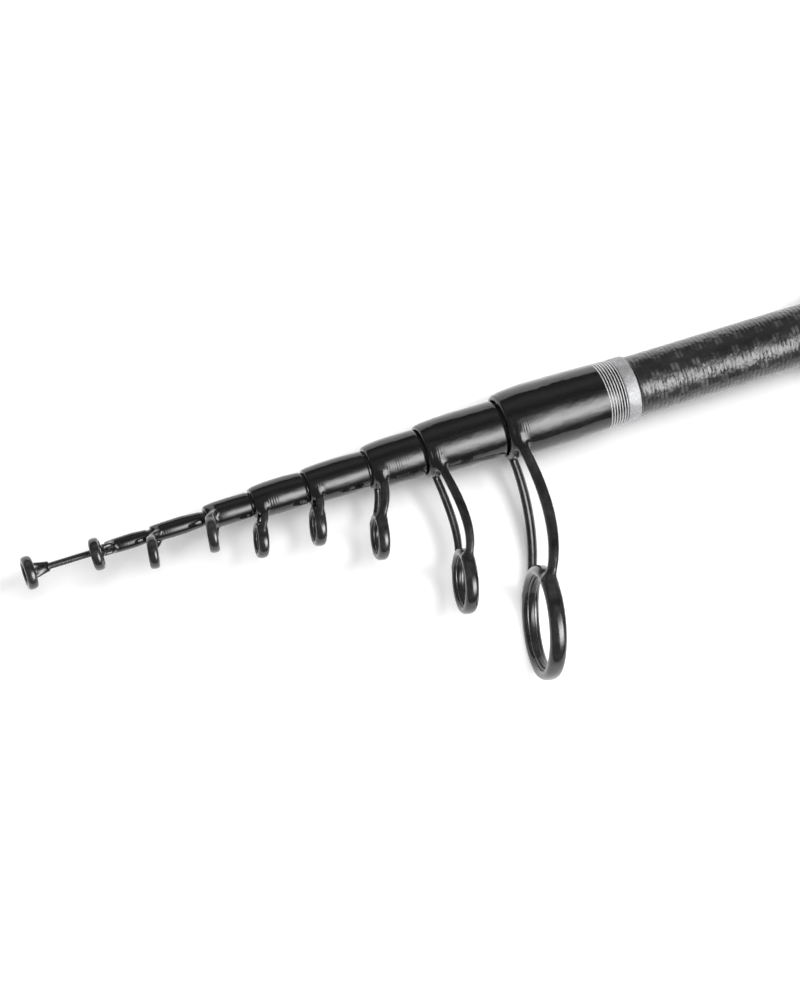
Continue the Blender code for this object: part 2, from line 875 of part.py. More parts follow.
def add_butt_end(carbon, rubber, metal, root):
    """Screw-on cap with a cushion that the sections rest on, and the threaded collar round the blank."""
    outer = BUTT.bore + BUTT.wall
    ferrule_outer = outer + GLUE_GAP + FERRULE_WALL
    ferrule = plain_ring(-FERRULE_FRONT, -rear_stop(), outer + GLUE_GAP, ferrule_outer)
    add_object("butt_ferrule", ferrule, metal, root)
    cap_joint = add_empty("butt_cap_joint", 0.0, root)
    inner = ferrule_outer + CAP_THREAD_GAP
    waist = -CAP_LENGTH / 2
    outline = [
        (-CAP_FACE, 0.0),
        (-CAP_FACE, inner),
        (-CAP_LENGTH, inner),
        (-CAP_LENGTH, CAP_RADIUS - CAP_EDGE / 2),
        (-CAP_LENGTH + CAP_EDGE / 2, CAP_RADIUS),
        (waist - CAP_EDGE, CAP_RADIUS),
        (waist, CAP_RADIUS - CAP_WAIST),
        (waist + CAP_EDGE, CAP_RADIUS),
        (-CAP_EDGE, CAP_RADIUS),
        (0.0, CAP_RADIUS - CAP_EDGE),
        (0.0, 0.0),
    ]
    add_object("butt_cap", turned(outline, TUBE_SIDES, closed=False), rubber, cap_joint)
    cushion = plug(
        -CAP_FACE - SEAT_GAP - CUSHION_THICKNESS, -CAP_FACE - SEAT_GAP, inner - SEAT_GAP, TUBE_SIDES
    )
    add_object("cap_cushion", cushion, rubber, cap_joint)


def add_grips(foam, metal, root):
    """Rear and fore grips, and the trim rings at their ends."""
    inner = BUTT.bore + BUTT.wall + GLUE_GAP
    rear_start = CAP_LENGTH + SEAT_GAP
    run = REAR_GRIP_END - rear_start
    outline = [(-rear_start, inner), (-rear_start, REAR_GRIP_RADIUS - GRIP_EDGE)]
    for i in range(REAR_GRIP_STEPS + 1):
        share = i / REAR_GRIP_STEPS
        x = rear_start + GRIP_EDGE + (run - 2 * GRIP_EDGE) * share
        waist = (REAR_GRIP_RADIUS - REAR_GRIP_WAIST) * math.sin(math.pi * share) ** 2
        outline.append((-x, REAR_GRIP_RADIUS - waist))
    outline += [(-REAR_GRIP_END, REAR_GRIP_RADIUS - GRIP_EDGE), (-REAR_GRIP_END, inner)]
    add_object("rear_grip", turned(outline, TUBE_SIDES), foam, root)

    rear_check = chamfered_ring(
        -SEAT_START + SEAT_GAP,
        -REAR_GRIP_END - SEAT_GAP,
        inner,
        REAR_CHECK_RADIUS,
        CHECK_EDGE,
    )
    add_object("rear_winding_check", rear_check, metal, root)

    run = FORE_GRIP_END - FORE_GRIP_START
    outline = [(-FORE_GRIP_START, inner), (-FORE_GRIP_START, FORE_GRIP_RADIUS - GRIP_EDGE)]
    for i in range(FORE_GRIP_STEPS + 1):
        share = i / FORE_GRIP_STEPS
        x = FORE_GRIP_START + GRIP_EDGE + (run - GRIP_EDGE) * share
        fall = (FORE_GRIP_RADIUS - FORE_GRIP_NOSE) * share**2
        outline.append((-x, FORE_GRIP_RADIUS - fall))
    outline.append((-FORE_GRIP_END, inner))
    add_object("fore_grip", turned(outline, TUBE_SIDES), foam, root)

    start = FORE_GRIP_END + SEAT_GAP
    front_check = chamfered_ring(-start - CHECK_LENGTH, -start, inner, CHECK_RADIUS, CHECK_EDGE)
    add_object("front_winding_check", front_check, metal, root)


def flatted(start, end, radius, flat):
    """A solid bar along X whose round side is cut flat towards the guides."""
    half_gap = math.acos(flat / radius)
    rings = []
    for x in (start, end):
        ring = []
        for i in range(TUBE_SIDES + 1):
            turn = half_gap + (2 * math.pi - 2 * half_gap) * i / TUBE_SIDES
            ring.append((x, -radius * math.cos(turn), -radius * math.sin(turn)))
        rings.append(ring)
    return lofted(rings)


def block(low, high):
    """A box between two corners."""
    size = Vector(high) - Vector(low)
    middle = (Vector(high) + Vector(low)) / 2
    bm = bmesh.new()
    place = Matrix.Translation(middle) @ Matrix.Diagonal((*size, 1.0))
    bmesh.ops.create_cube(bm, size=1.0, matrix=place)
    return bm


def hood_shell(mouth, length, inward):
    """A hood's outside: round at its back, and swollen towards the reel's foot as far as its pocket goes."""
    outer = SEAT_RADIUS + RUNNING_GAP + HOOD_WALL
    stations = (
        (0.0, 1.0, HOOD_EDGE),
        (HOOD_EDGE, 1.0, 0.0),
        (HOOD_POCKET_DEPTH, HOOD_SHOULDER, 0.0),
        (length - HOOD_EDGE, HOOD_HEEL, 0.0),
        (length, 0.0, HOOD_EDGE),
    )
    rings = []
    for depth, swell, drop in stations:
        ring = []
        for i in range(TUBE_SIDES):
            turn = 2 * math.pi * i / TUBE_SIDES
            lift = HOOD_SWELL * swell * max(0.0, math.cos(turn))
            radius = outer + lift - drop
            ring.append((mouth + inward * depth, -radius * math.cos(turn), radius * math.sin(turn)))
        rings.append(ring)
    return lofted(rings)


def hood_pocket(mouth, inward):
    """The room under a hood for one end of the reel's foot: flat below and arched above."""
    roof = SEAT_RADIUS + RUNNING_GAP + HOOD_SWELL + HOOD_ROOF_GAIN
    spread = math.asin(HOOD_POCKET_WIDTH / 2 / roof)
    floor = -SEAT_FLAT + HOOD_POCKET_SINK
    rings = []
    for x in (mouth - inward * CUT_MARGIN, mouth + inward * HOOD_POCKET_DEPTH):
        ring = [(x, floor, -HOOD_POCKET_WIDTH / 2), (x, floor, HOOD_POCKET_WIDTH / 2)]
        for i in range(HOOD_POCKET_STEPS + 1):
            turn = spread * (1 - 2 * i / HOOD_POCKET_STEPS)
            ring.append((x, -roof * math.cos(turn), roof * math.sin(turn)))
        rings.append(ring)
    return lofted(rings)


def add_reel_seat(plastic, metal, root):
    """Seat body with the foot's bed, the fixed hood, and the hood and nut that clamp the foot."""
    inner = BUTT.bore + BUTT.wall + GLUE_GAP
    body = add_object(
        "reel_seat_body", flatted(-SEAT_END, -SEAT_START, SEAT_RADIUS, SEAT_FLAT), plastic, root
    )
    bed = block(
        (-FOOT_BED_END, -SEAT_FLAT - FOOT_BED_HEIGHT, -FOOT_BED_WIDTH / 2),
        (-FOOT_BED_START, -SEAT_FLAT + FOOT_BED_SINK, FOOT_BED_WIDTH / 2),
    )
    bore = plug(-SEAT_END - CUT_MARGIN, -SEAT_START + CUT_MARGIN, inner, TUBE_SIDES)
    combine(body, [bed], [bore])

    hood_fit = flatted(
        -SEAT_START - FIXED_HOOD_LENGTH - CUT_MARGIN,
        -SEAT_START + CUT_MARGIN,
        SEAT_RADIUS + GLUE_GAP,
        SEAT_FLAT + GLUE_GAP,
    )
    mouth = -SEAT_START - FIXED_HOOD_LENGTH
    fixed = add_object("fixed_hood", hood_shell(mouth, FIXED_HOOD_LENGTH, 1), metal, root)
    combine(fixed, [], [hood_fit, hood_pocket(mouth, 1)])

    joint = add_empty("sliding_hood_joint", -SLIDING_HOOD_START, root)
    slide_fit = flatted(
        -SLIDING_HOOD_LENGTH - CUT_MARGIN,
        CUT_MARGIN,
        SEAT_RADIUS + RUNNING_GAP,
        SEAT_FLAT + RUNNING_GAP,
    )
    sliding = add_object("sliding_hood", hood_shell(0.0, SLIDING_HOOD_LENGTH, -1), metal, joint)
    combine(sliding, [], [slide_fit, hood_pocket(0.0, -1)])

    nut_joint = add_empty("lock_nut_joint", -SLIDING_HOOD_LENGTH - SEAT_GAP, joint)
    add_nut(metal, nut_joint)


def add_nut(metal, joint):
    """The knurled ring that screws along the seat and pushes the hood."""
    rings = []
    sides = NUT_RIBS * 2
    for x, drop in (
        (0.0, NUT_EDGE),
        (-NUT_EDGE, 0.0),
        (-NUT_LENGTH + NUT_EDGE, 0.0),
        (-NUT_LENGTH, NUT_EDGE),
    ):
        ring = []
        for i in range(sides):
            turn = 2 * math.pi * i / sides
            radius = NUT_RADIUS - drop - (NUT_RIB_HEIGHT if i % 2 else 0.0)
            ring.append((x, radius * math.cos(turn), radius * math.sin(turn)))
        rings.append(ring)
    nut = add_object("lock_nut", lofted(rings), metal, joint, sharp=NUT_SHARP_ANGLE)
    bore = plug(-NUT_LENGTH - CUT_MARGIN, CUT_MARGIN, SEAT_RADIUS + RUNNING_GAP, TUBE_SIDES)
    combine(nut, [], [bore])


def main():
    clear_scene()
    carbon = material("carbon", (0.018, 0.018, 0.020), 0.28, coat=0.8)
    lacquer = material("black_lacquer", (0.010, 0.010, 0.011), 0.10, coat=1.0)
    guide_metal = material("guide_metal", (0.035, 0.036, 0.038), 0.22, metallic=0.7)
    ceramic = material("guide_ceramic", (0.030, 0.031, 0.034), 0.12)
    silver = material("silver_thread", (0.62, 0.62, 0.63), 0.35, metallic=0.9)
    satin = material("satin_aluminium", (0.55, 0.56, 0.58), 0.30, metallic=1.0)
    foam = material("grip_foam", (0.022, 0.022, 0.023), 0.90)
    plastic = material("seat_plastic", (0.020, 0.020, 0.022), 0.35)
    rubber = material("cap_rubber", (0.025, 0.025, 0.026), 0.70)

    root = add_empty("butt_end", 0.0)
    at_mouth = add_butt_front(carbon, lacquer, guide_metal, ceramic, silver, root)
    add_butt_end(carbon, rubber, satin, root)
    add_grips(foam, satin, root)
    add_reel_seat(plastic, satin, root)

    parent_section = BUTT
    joint = at_mouth
    for section in SECTIONS:
        joint = add_empty(f"section_{section.number}_mouth", -section.step, joint)
        add_blank(section, parent_section, carbon, joint)
        add_wrap(section, parent_section, lacquer, joint)
        add_guide_frame(section, parent_section, guide_metal, joint)
        add_guide_insert(section, ceramic, joint)
        parent_section = section
    tip_joint = add_empty("tip_ring", -TIP_STEP, joint)
    add_tip(parent_section, carbon, guide_metal, ceramic, tip_joint)


main()
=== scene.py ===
"""Looks for the telescopic fishing rod: fine meshes, materials, light and camera.

The rod lies along X, with its tip towards -X, its guides towards -Y and its butt's end at x = 0. Lengths are in
mm, but metres for floor, light, camera and bump heights. A section's own points are (back, out, side): back from
its mouth, out towards its guide, and sideways from the guide's middle plane.
"""

import math
from collections import namedtuple

import bmesh
import bpy
import numpy as np
from mathutils import Matrix, Vector


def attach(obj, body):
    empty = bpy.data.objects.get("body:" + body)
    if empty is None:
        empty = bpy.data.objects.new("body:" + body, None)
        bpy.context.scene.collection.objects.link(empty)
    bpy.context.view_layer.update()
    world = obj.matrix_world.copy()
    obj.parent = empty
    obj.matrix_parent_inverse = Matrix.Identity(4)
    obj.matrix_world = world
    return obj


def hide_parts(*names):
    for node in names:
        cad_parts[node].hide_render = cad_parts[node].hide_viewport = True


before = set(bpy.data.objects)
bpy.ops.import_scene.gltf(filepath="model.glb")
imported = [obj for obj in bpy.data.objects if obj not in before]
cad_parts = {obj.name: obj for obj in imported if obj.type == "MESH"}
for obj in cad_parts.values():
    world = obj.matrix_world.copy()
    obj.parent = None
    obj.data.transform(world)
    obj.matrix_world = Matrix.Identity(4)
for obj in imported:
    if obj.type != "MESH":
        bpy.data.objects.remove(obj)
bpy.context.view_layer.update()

MM = 0.001
SIDES = 72  # of a turned form

# Fits
REAR_STOP = 5.5  # the closed sections end here, in front of the cap's end face
SETBACK = 2.5  # a blank starts this far behind its sleeve's mouth
OVERLAP = 30.0  # the straight rear end of a section, which stays in its parent
SLIDE_GAP = 0.03
GLUE_GAP = 0.05
BUTT_SEAT = 7.67  # inner radius of all that sits on the butt blank

# Sleeves
NOSE_STRETCH = 1.6  # the bullet nose's length, as a share of the table's
NOSE_LIMIT = 0.85  # and at most, as a share of the sleeve's
NOSE_POWER = 0.33
LIP_PLACE, LIP_WIDTH, LIP_DEPTH = 0.2, 0.035, 0.012  # the groove behind the mouth, as shares of the bore
MOUTH_ROUND = 0.10  # of the bore

# Legs
LEG_POINTS = 14
LEG_TURN = math.radians(28.0)  # its wide side turns outwards from the rod's direction
LEG_WAIST = 0.84  # a leg's width at its ends, as a share of its width in the middle
LEG_FIRST = np.array([0.05, 0.35, 0.05])  # its curve's handles, as shares of its reach
LEG_LAST = np.array([0.16, -0.24, 0.05])
ROOT_SINK = 0.20  # how deep it starts in the sleeve, as a share of the bore
SEAT_SINK = 0.25  # how deep it ends in the rim, as a share of the rim
SHELL_BLEND = 0.65  # fillets, as shares of the leg's width
RIM_BLEND = 0.7
COAT_REACH = 0.55  # the lacquer climbs the legs this far, as a share of their width

# Rings
LEAN = math.radians(12.6)  # of a ring's axis from the rod's
RIM_POWER = 2.3  # of the rim's rounded cross-section
RIM_WIDE, RIM_DEEP, RIM_INSET = 0.58, 0.61, 0.11  # shares of the table's width, depth and rim
INSERT_SHARE = 0.44  # the insert's width, as a share of the rim's
INSERT_OVERLAP = 0.1

Nose = namedtuple("Nose", "radius length")  # radius at the mouth
Sleeve = namedtuple("Sleeve", "radius rear_radius length")
Wrap = namedtuple("Wrap", "end radius")  # where it ends behind the mouth, and its radius there
Ring = namedtuple("Ring", "forward distance radius width rim insert")
Leg = namedtuple("Leg", "start angle spread width thickness")  # angles in degrees; spread is at the ring
Rim = namedtuple("Rim", "wide deep middle")  # half width, half depth, and its middle's distance from the axis
Tip = namedtuple("Tip", "mouth radius twist ring tube_front tube_length tube_radius grid")
Hood = namedtuple("Hood", "name mouth length inward gap body node")  # inward is the way in along X


class Section(namedtuple("Section", "number mouth bore wall nose sleeve wrap twist ring leg grid")):
    """A section's front end and guide. mouth is measured from the butt's end, and twist is in degrees."""

    @property
    def body(self):
        return "butt" if self.number == 9 else f"section_{self.number}"

    @property
    def front_radius(self):
        return self.bore + self.wall


SECTIONS = {
    9: Section(9, 315.0, 6.95, 0.67, Nose(7.3, 6.0), Sleeve(8.77, 8.68, 14.0), Wrap(26.4, 8.35), -2.3,
               Ring(5.6, 48.6, 14.1, 3.6, 1.1, 1.2), Leg(2.2, 48.0, 50.0, 2.8, 2.0), 0.30),
    8: Section(8, 335.7, 5.6, 0.5, Nose(6.0, 8.0), Sleeve(7.1, 7.05, 13.0), Wrap(20.4, 7.0), -2.3,
               Ring(0.0, 33.2, 8.1, 2.8, 0.8, 0.9), Leg(2.5, 45.0, 52.0, 2.3, 1.6), 0.25),
    7: Section(7, 349.7, 4.3, 0.6, Nose(4.7, 6.0), Sleeve(5.87, 5.85, 9.0), Wrap(13.7, 5.8), 0.0,
               Ring(2.1, 16.6, 5.9, 2.4, 0.7, 0.8), Leg(2.0, 52.0, 46.0, 2.2, 1.5), 0.21),
    6: Section(6, 365.4, 3.6, 0.45, Nose(4.0, 5.0), Sleeve(4.7, 4.7, 9.5), Wrap(15.4, 4.45), 3.0,
               Ring(-0.1, 9.7, 5.0, 2.3, 0.6, 0.7), Leg(1.8, 58.0, 52.0, 1.9, 1.3), 0.18),
    5: Section(5, 379.1, 2.75, 0.45, Nose(3.2, 5.0), Sleeve(4.2, 4.2, 8.5), Wrap(13.4, 3.9), 3.0,
               Ring(0.4, 8.9, 4.45, 2.2, 0.6, 0.6), Leg(1.8, 58.0, 54.0, 1.8, 1.3), 0.18),
    4: Section(4, 390.7, 1.95, 0.45, Nose(2.5, 4.0), Sleeve(3.17, 3.15, 7.5), Wrap(11.3, 3.06), -46.0,
               Ring(0.5, 6.9, 4.45, 2.1, 0.6, 0.6), Leg(1.5, 58.0, 58.0, 1.7, 1.2), 0.17),
    3: Section(3, 404.2, 1.38, 0.32, Nose(1.8, 4.0), Sleeve(2.15, 2.15, 8.0), Wrap(12.4, 1.8), -45.0,
               Ring(1.6, 6.5, 4.05, 2.0, 0.5, 0.6), Leg(1.2, 56.0, 30.0, 1.3, 1.0), 0.16),
    2: Section(2, 415.5, 0.98, 0.32, Nose(1.4, 4.0), Sleeve(1.8, 1.8, 7.0), Wrap(10.4, 1.5), -78.0,
               Ring(3.2, 6.2, 4.0, 2.0, 0.5, 0.6), Leg(1.2, 24.0, 9.0, 1.5, 1.2), 0.16),
}
TIP = Tip(434.7, 0.8, -82.0, Ring(0.0, 4.3, 4.1, 2.1, 0.55, 0.8), 0.8, 4.6, 1.1, 0.14)


# ---------------- materials

class Nodes:
    """Adds shader nodes to a tree."""

    def __init__(self, tree):
        self.tree = tree

    def node(self, kind, inputs=None, **settings):
        made = self.tree.nodes.new(kind)
        for key, value in settings.items():
            setattr(made, key, value)
        for key, value in (inputs or {}).items():
            if isinstance(value, bpy.types.NodeSocket):
                self.tree.links.new(value, made.inputs[key])
            else:
                made.inputs[key].default_value = value
        return made

    def calc(self, operation, a, b=0.0):
        return self.node("ShaderNodeMath", {0: a, 1: b}, operation=operation).outputs[0]

    def times(self, a, b):
        return self.calc("MULTIPLY", a, b)

    def plus(self, a, b):
        return self.calc("ADD", a, b)

    def ramp(self, value, low, high, out_low=0.0, out_high=1.0, curve="LINEAR"):
        """Maps low..high to out_low..out_high, and holds the ends."""
        return self.node("ShaderNodeMapRange", {0: value, 1: low, 2: high, 3: out_low, 4: out_high},
                         interpolation_type=curve).outputs[0]

    def place(self):
        return self.node("ShaderNodeTexCoord").outputs["Object"]

    def parts(self):
        """The place as x, y and z, in metres."""
        return self.node("ShaderNodeSeparateXYZ", {0: self.place()}).outputs

    def is_camera(self):
        return self.node("ShaderNodeLightPath").outputs["Is Camera Ray"]


class Look(Nodes):
    """A Principled material. Its keywords are the shader's sockets."""

    def __init__(self, name, **sockets):
        self.material = bpy.data.materials.new(name)
        self.material.use_nodes = True
        super().__init__(self.material.node_tree)
        self.shader = self.tree.nodes["Principled BSDF"]
        for key, value in sockets.items():
            socket = self.shader.inputs[key.replace("_", " ").title().replace("Ior", "IOR")]
            socket.default_value = (*value, 1.0) if isinstance(value, tuple) else value

    def link(self, output, name):
        self.tree.links.new(output, self.shader.inputs[name])

    def relief(self, output):
        """Bends both the surface and the clear coat over it."""
        self.link(output, "Normal")
        self.link(output, "Coat Normal")

    def scaled(self, vector, scale):
        return self.node("ShaderNodeMapping", {"Vector": vector, "Scale": scale}).outputs[0]

    def noise(self, vector, scale, detail=3.0, rough=0.55):
        inputs = {"Vector": vector, "Scale": scale, "Detail": detail, "Roughness": rough}
        return self.node("ShaderNodeTexNoise", inputs).outputs["Fac"]

    def tint(self, value, low, high):
        """Sets the base colour between two by a 0 to 1 value."""
        mix = self.node("ShaderNodeMix", {0: value}, data_type="RGBA")
        mix.inputs[6].default_value = (*low, 1.0)
        mix.inputs[7].default_value = (*high, 1.0)
        self.link(mix.outputs[2], "Base Color")

    def rough(self, value, low, high, out_low, out_high, name="Roughness"):
        self.link(self.ramp(value, low, high, out_low, out_high), name)

    def bump(self, height, distance, strength, normal=None):
        inputs = {"Height": height, "Distance": distance, "Strength": strength}
        if normal is not None:
            inputs["Normal"] = normal
        return self.node("ShaderNodeBump", inputs).outputs[0]

    def axes(self):
        """x along the rod in mm, and the angle round it in radians."""
        x, y, z = self.parts()
        return self.times(x, 1.0 / MM), self.calc("ARCTAN2", z, y)


def lacquer_look(name, flow_height, ring_height):
    """Thick epoxy lacquer over wound thread: a soft flowing surface, with thread rings that just show."""
    thread_pitch = 0.62
    look = Look(name, base_color=(0.010, 0.010, 0.0103), roughness=0.2, coat_weight=1.0, coat_roughness=0.07,
                specular_ior_level=0.2)
    place = look.place()
    long = look.scaled(place, (0.5, 1.0, 1.0))
    flow = look.noise(long, 300.0, 2.0, 0.5)
    along, _ = look.axes()
    wobble = look.times(look.noise(place, 400.0, 2.0), 2.5)
    thread = look.calc("SINE", look.plus(look.times(along, 2 * math.pi / thread_pitch), wobble))
    patches = look.ramp(look.noise(look.scaled(place, (1.0, 0.5, 0.5)), 210.0), 0.42, 0.66)
    first = look.bump(flow, flow_height, 0.8)
    look.relief(look.bump(look.times(thread, patches), ring_height, 0.8, first))
    smear = look.noise(long, 420.0, 4.0)
    look.rough(smear, 0.35, 0.75, 0.16, 0.32)
    look.rough(smear, 0.35, 0.75, 0.02, 0.10, "Coat Roughness")
    return look.material


def guide_look():
    """Black plated wire and rim, polished, with paler clouds."""
    look = Look("guide_metal_look", base_color=(0.04, 0.04, 0.042), roughness=0.22, metallic=0.5,
                coat_weight=1.0, coat_roughness=0.03, specular_ior_level=0.5)
    place = look.place()
    cloud = look.noise(place, 300.0, 4.0)
    look.rough(cloud, 0.3, 0.75, 0.14, 0.28)
    look.tint(look.ramp(cloud, 0.35, 0.8), (0.026, 0.026, 0.027), (0.080, 0.080, 0.083))
    look.relief(look.bump(look.noise(place, 520.0, 2.0), 0.00003, 0.7))
    return look.material


def ceramic_look():
    """Polished black ceramic."""
    look = Look("guide_ceramic_look", base_color=(0.018, 0.018, 0.020), roughness=0.2, specular_ior_level=0.6)
    place = look.place()
    look.rough(look.noise(place, 700.0), 0.3, 0.8, 0.08, 0.20)
    look.tint(look.noise(place, 260.0, 2.0), (0.014, 0.014, 0.015), (0.040, 0.040, 0.043))
    look.link(look.bump(look.noise(place, 380.0, 2.0), 0.00003, 0.6), "Normal")
    return look.material


def seam_highlight_look():
    """Pale metal for the rim's lips at its insert. Their pale colour is a painted highlight, the bright line of
    light along that edge.
    """
    look = Look("ring_seam_highlight_look", base_color=(0.30, 0.30, 0.31), roughness=0.3, metallic=1.0)
    look.rough(look.noise(look.place(), 900.0), 0.3, 0.7, 0.18, 0.38)
    return look.material


def carbon_look():
    """Woven carbon tape under thin clear lacquer: pairs of crossing tows in staggered rows. The tows that catch
    the light get a paler colour, a painted sheen over the real weave.
    """
    tow_width = 1.1
    tows_round = 15
    look = Look("carbon_weave_look", base_color=(0.02, 0.02, 0.02), roughness=0.3, metallic=0.6,
                coat_weight=0.9, coat_roughness=0.09, specular_ior_level=0.3)
    along, angle = look.axes()
    place = look.place()
    bend = look.times(look.calc("SUBTRACT", look.noise(place, 260.0, 2.0), 0.5), 0.5)
    rows = look.plus(look.times(along, 1.0 / tow_width), bend)
    around = look.plus(look.times(angle, tows_round / (2 * math.pi)), bend)

    # two of every five tows catch the light and get the painted sheen, shifted by two from line to line; the
    # 4000 keeps the order positive
    order = look.plus(look.calc("FLOOR", rows), look.times(look.calc("FLOOR", around), 2.0))
    over = look.calc("LESS_THAN", look.calc("MODULO", look.plus(order, 4000.0), 5.0), 1.5)
    across_x = look.calc("SINE", look.times(look.calc("FRACT", rows), math.pi))
    across_y = look.calc("SINE", look.times(look.calc("FRACT", around), math.pi))
    block = look.times(look.ramp(across_x, 0.25, 0.6), look.ramp(across_y, 0.55, 0.8))
    glinting_tows = look.times(over, block)

    fibres = look.noise(look.scaled(place, (26.0, 4.0, 4.0)), 260.0, 3.0, 0.7)
    grain = look.noise(look.scaled(place, (1.0, 0.6, 0.6)), 1100.0, 3.0, 0.6)
    drift = look.ramp(look.noise(place, 150.0), 0.38, 0.60, 0.2, 1.0)
    # painted sheen: the tows that catch the light are painted paler, with random grain and drift mixed in
    pale = look.times(look.plus(glinting_tows, look.times(grain, 0.5)), drift)
    look.tint(pale, (0.030, 0.030, 0.031), (0.115, 0.115, 0.118))
    look.rough(look.times(glinting_tows, drift), 0.0, 1.0, 0.28, 0.50)
    ragged = look.ramp(look.noise(place, 420.0, 2.0), 0.35, 0.65, 0.1, 1.0)
    ribs = look.bump(look.times(across_x, ragged), 0.00012, 0.8)
    look.relief(look.bump(fibres, 0.00003, 0.6, look.bump(grain, 0.00020, 0.8, ribs)))
    return look.material


def plain_carbon_look():
    """The thinner sections' smoky black lacquer over straight fibre, with faint turning marks."""
    look = Look("carbon_plain_look", base_color=(0.012, 0.012, 0.013), roughness=0.25, coat_weight=1.0,
                coat_roughness=0.05)
    turning = look.noise(look.scaled(look.place(), (60.0, 1.0, 1.0)), 60.0, 2.0)
    look.tint(turning, (0.008, 0.008, 0.009), (0.030, 0.030, 0.032))
    look.rough(turning, 0.3, 0.7, 0.18, 0.34)
    look.relief(look.bump(turning, 0.00002, 0.5))
    return look.material


def thread_look():
    """Silver thread: pale, with its own fine twist."""
    look = Look("silver_thread_look", base_color=(0.80, 0.80, 0.81), roughness=0.45, metallic=0.45,
                coat_weight=0.3, coat_roughness=0.2)
    along, angle = look.axes()
    twist = look.calc("SINE", look.plus(look.times(angle, 160.0), look.times(along, 18.0)))
    look.rough(twist, -1.0, 1.0, 0.35, 0.6)
    look.relief(look.bump(twist, 0.000012, 0.6))
    return look.material


def foil_look():
    """Silver foil band: a fine glittering crinkle with brighter and duller patches."""
    look = Look("silver_band_look", base_color=(0.60, 0.60, 0.61), roughness=0.6, metallic=0.7,
                coat_weight=0.1, coat_roughness=0.3)
    place = look.place()
    crinkle = look.noise(place, 2300.0, 3.0, 0.7)
    patches = look.ramp(look.noise(place, 420.0), 0.38, 0.62, 0.3, 1.0)
    tone = look.times(look.plus(patches, look.ramp(crinkle, 0.40, 0.62)), 0.5)
    look.tint(tone, (0.29, 0.29, 0.30), (0.70, 0.70, 0.71))
    look.rough(crinkle, 0.3, 0.7, 0.45, 0.72)
    look.relief(look.bump(crinkle, 0.00009, 0.9))
    return look.material


def satin_look():
    """Turned and anodised aluminium: fine rings round the rod."""
    look = Look("satin_aluminium_look", base_color=(0.50, 0.505, 0.52), roughness=0.32, metallic=1.0,
                anisotropic=0.5)
    place = look.place()
    rings = look.noise(look.scaled(place, (60.0, 1.0, 1.0)), 130.0)
    look.rough(rings, 0.25, 0.75, 0.22, 0.42)
    look.tint(look.noise(place, 240.0, 5.0), (0.42, 0.425, 0.44), (0.56, 0.565, 0.58))
    look.link(look.bump(rings, 0.00001, 0.6), "Normal")
    return look.material


def foam_look():
    """Closed-cell foam: tiny pores, a sanded surface and slightly paler rubbed places."""
    look = Look("grip_foam_look", base_color=(0.02, 0.02, 0.021), roughness=0.92, specular_ior_level=0.3,
                sheen_weight=0.25, sheen_roughness=0.5)
    place = look.place()
    cells = look.node("ShaderNodeTexVoronoi", {"Vector": place, "Scale": 2600.0}).outputs["Distance"]
    grain = look.noise(place, 1500.0, 4.0, 0.7)
    rubbed = look.ramp(look.noise(place, 90.0, 4.0), 0.35, 0.7)
    look.tint(rubbed, (0.014, 0.014, 0.015), (0.040, 0.040, 0.041))
    look.link(look.bump(grain, 0.00005, 0.5, look.bump(cells, 0.00012, 0.7)), "Normal")
    look.rough(grain, 0.3, 0.7, 0.82, 0.98)
    return look.material


def plastic_look():
    """Moulded seat: fine spark-eroded grain."""
    look = Look("seat_plastic_look", base_color=(0.017, 0.017, 0.018), roughness=0.38)
    place = look.place()
    grain = look.noise(place, 2600.0, 3.0, 0.7)
    cloud = look.noise(place, 120.0, 4.0)
    look.rough(cloud, 0.3, 0.75, 0.30, 0.48)
    look.tint(cloud, (0.013, 0.013, 0.014), (0.026, 0.026, 0.027))
    look.link(look.bump(grain, 0.00002, 0.6), "Normal")
    return look.material


def rubber_look():
    """Matt rubber with pale scuffs."""
    look = Look("cap_rubber_look", base_color=(0.020, 0.020, 0.021), roughness=0.75, specular_ior_level=0.35)
    place = look.place()
    grain = look.noise(place, 1200.0, 5.0, 0.7)
    scuff = look.ramp(look.noise(place, 160.0, 5.0), 0.4, 0.75)
    look.tint(scuff, (0.014, 0.014, 0.015), (0.040, 0.039, 0.038))
    look.rough(grain, 0.3, 0.7, 0.62, 0.88)
    look.link(look.bump(grain, 0.00004, 0.6), "Normal")
    return look.material


LACQUER = lacquer_look("black_lacquer_look", 0.00018, 0.000010)
FINE_LACQUER = lacquer_look("fine_lacquer_look", 0.00006, 0.000003)
GUIDE = guide_look()
CERAMIC = ceramic_look()
SEAM_HIGHLIGHT = seam_highlight_look()
WEAVE = carbon_look()
CARBON = plain_carbon_look()
THREAD = thread_look()
FOIL = foil_look()
SATIN = satin_look()
FOAM = foam_look()
PLASTIC = plastic_look()
RUBBER = rubber_look()


# ---------------- mesh helpers

def add_piece(name, mesh, finish, body, replaced=None, sharp=40.0, second=None):
    """Links a mesh as a piece that rides on a body. Edges above sharp degrees stay sharp."""
    mesh.name = name
    mesh.shade_smooth()
    mesh.set_sharp_from_angle(angle=math.radians(sharp))
    mesh.materials.append(finish)
    if second:
        mesh.materials.append(second)
    piece = bpy.data.objects.new(name, mesh)
    bpy.context.scene.collection.objects.link(piece)
    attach(piece, body)
    if replaced:
        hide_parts(replaced)
    return piece


def new_mesh(points, faces, weld=False):
    """A mesh over points in mm, with its faces turned outwards."""
    mesh = bpy.data.meshes.new("new")
    mesh.from_pydata((points * MM).tolist(), [], faces)
    bm = bmesh.new()
    bm.from_mesh(mesh)
    if weld:
        bmesh.ops.remove_doubles(bm, verts=bm.verts, dist=1e-7)
    bmesh.ops.recalc_face_normals(bm, faces=bm.faces)
    bm.to_mesh(mesh)
    bm.free()
    return mesh


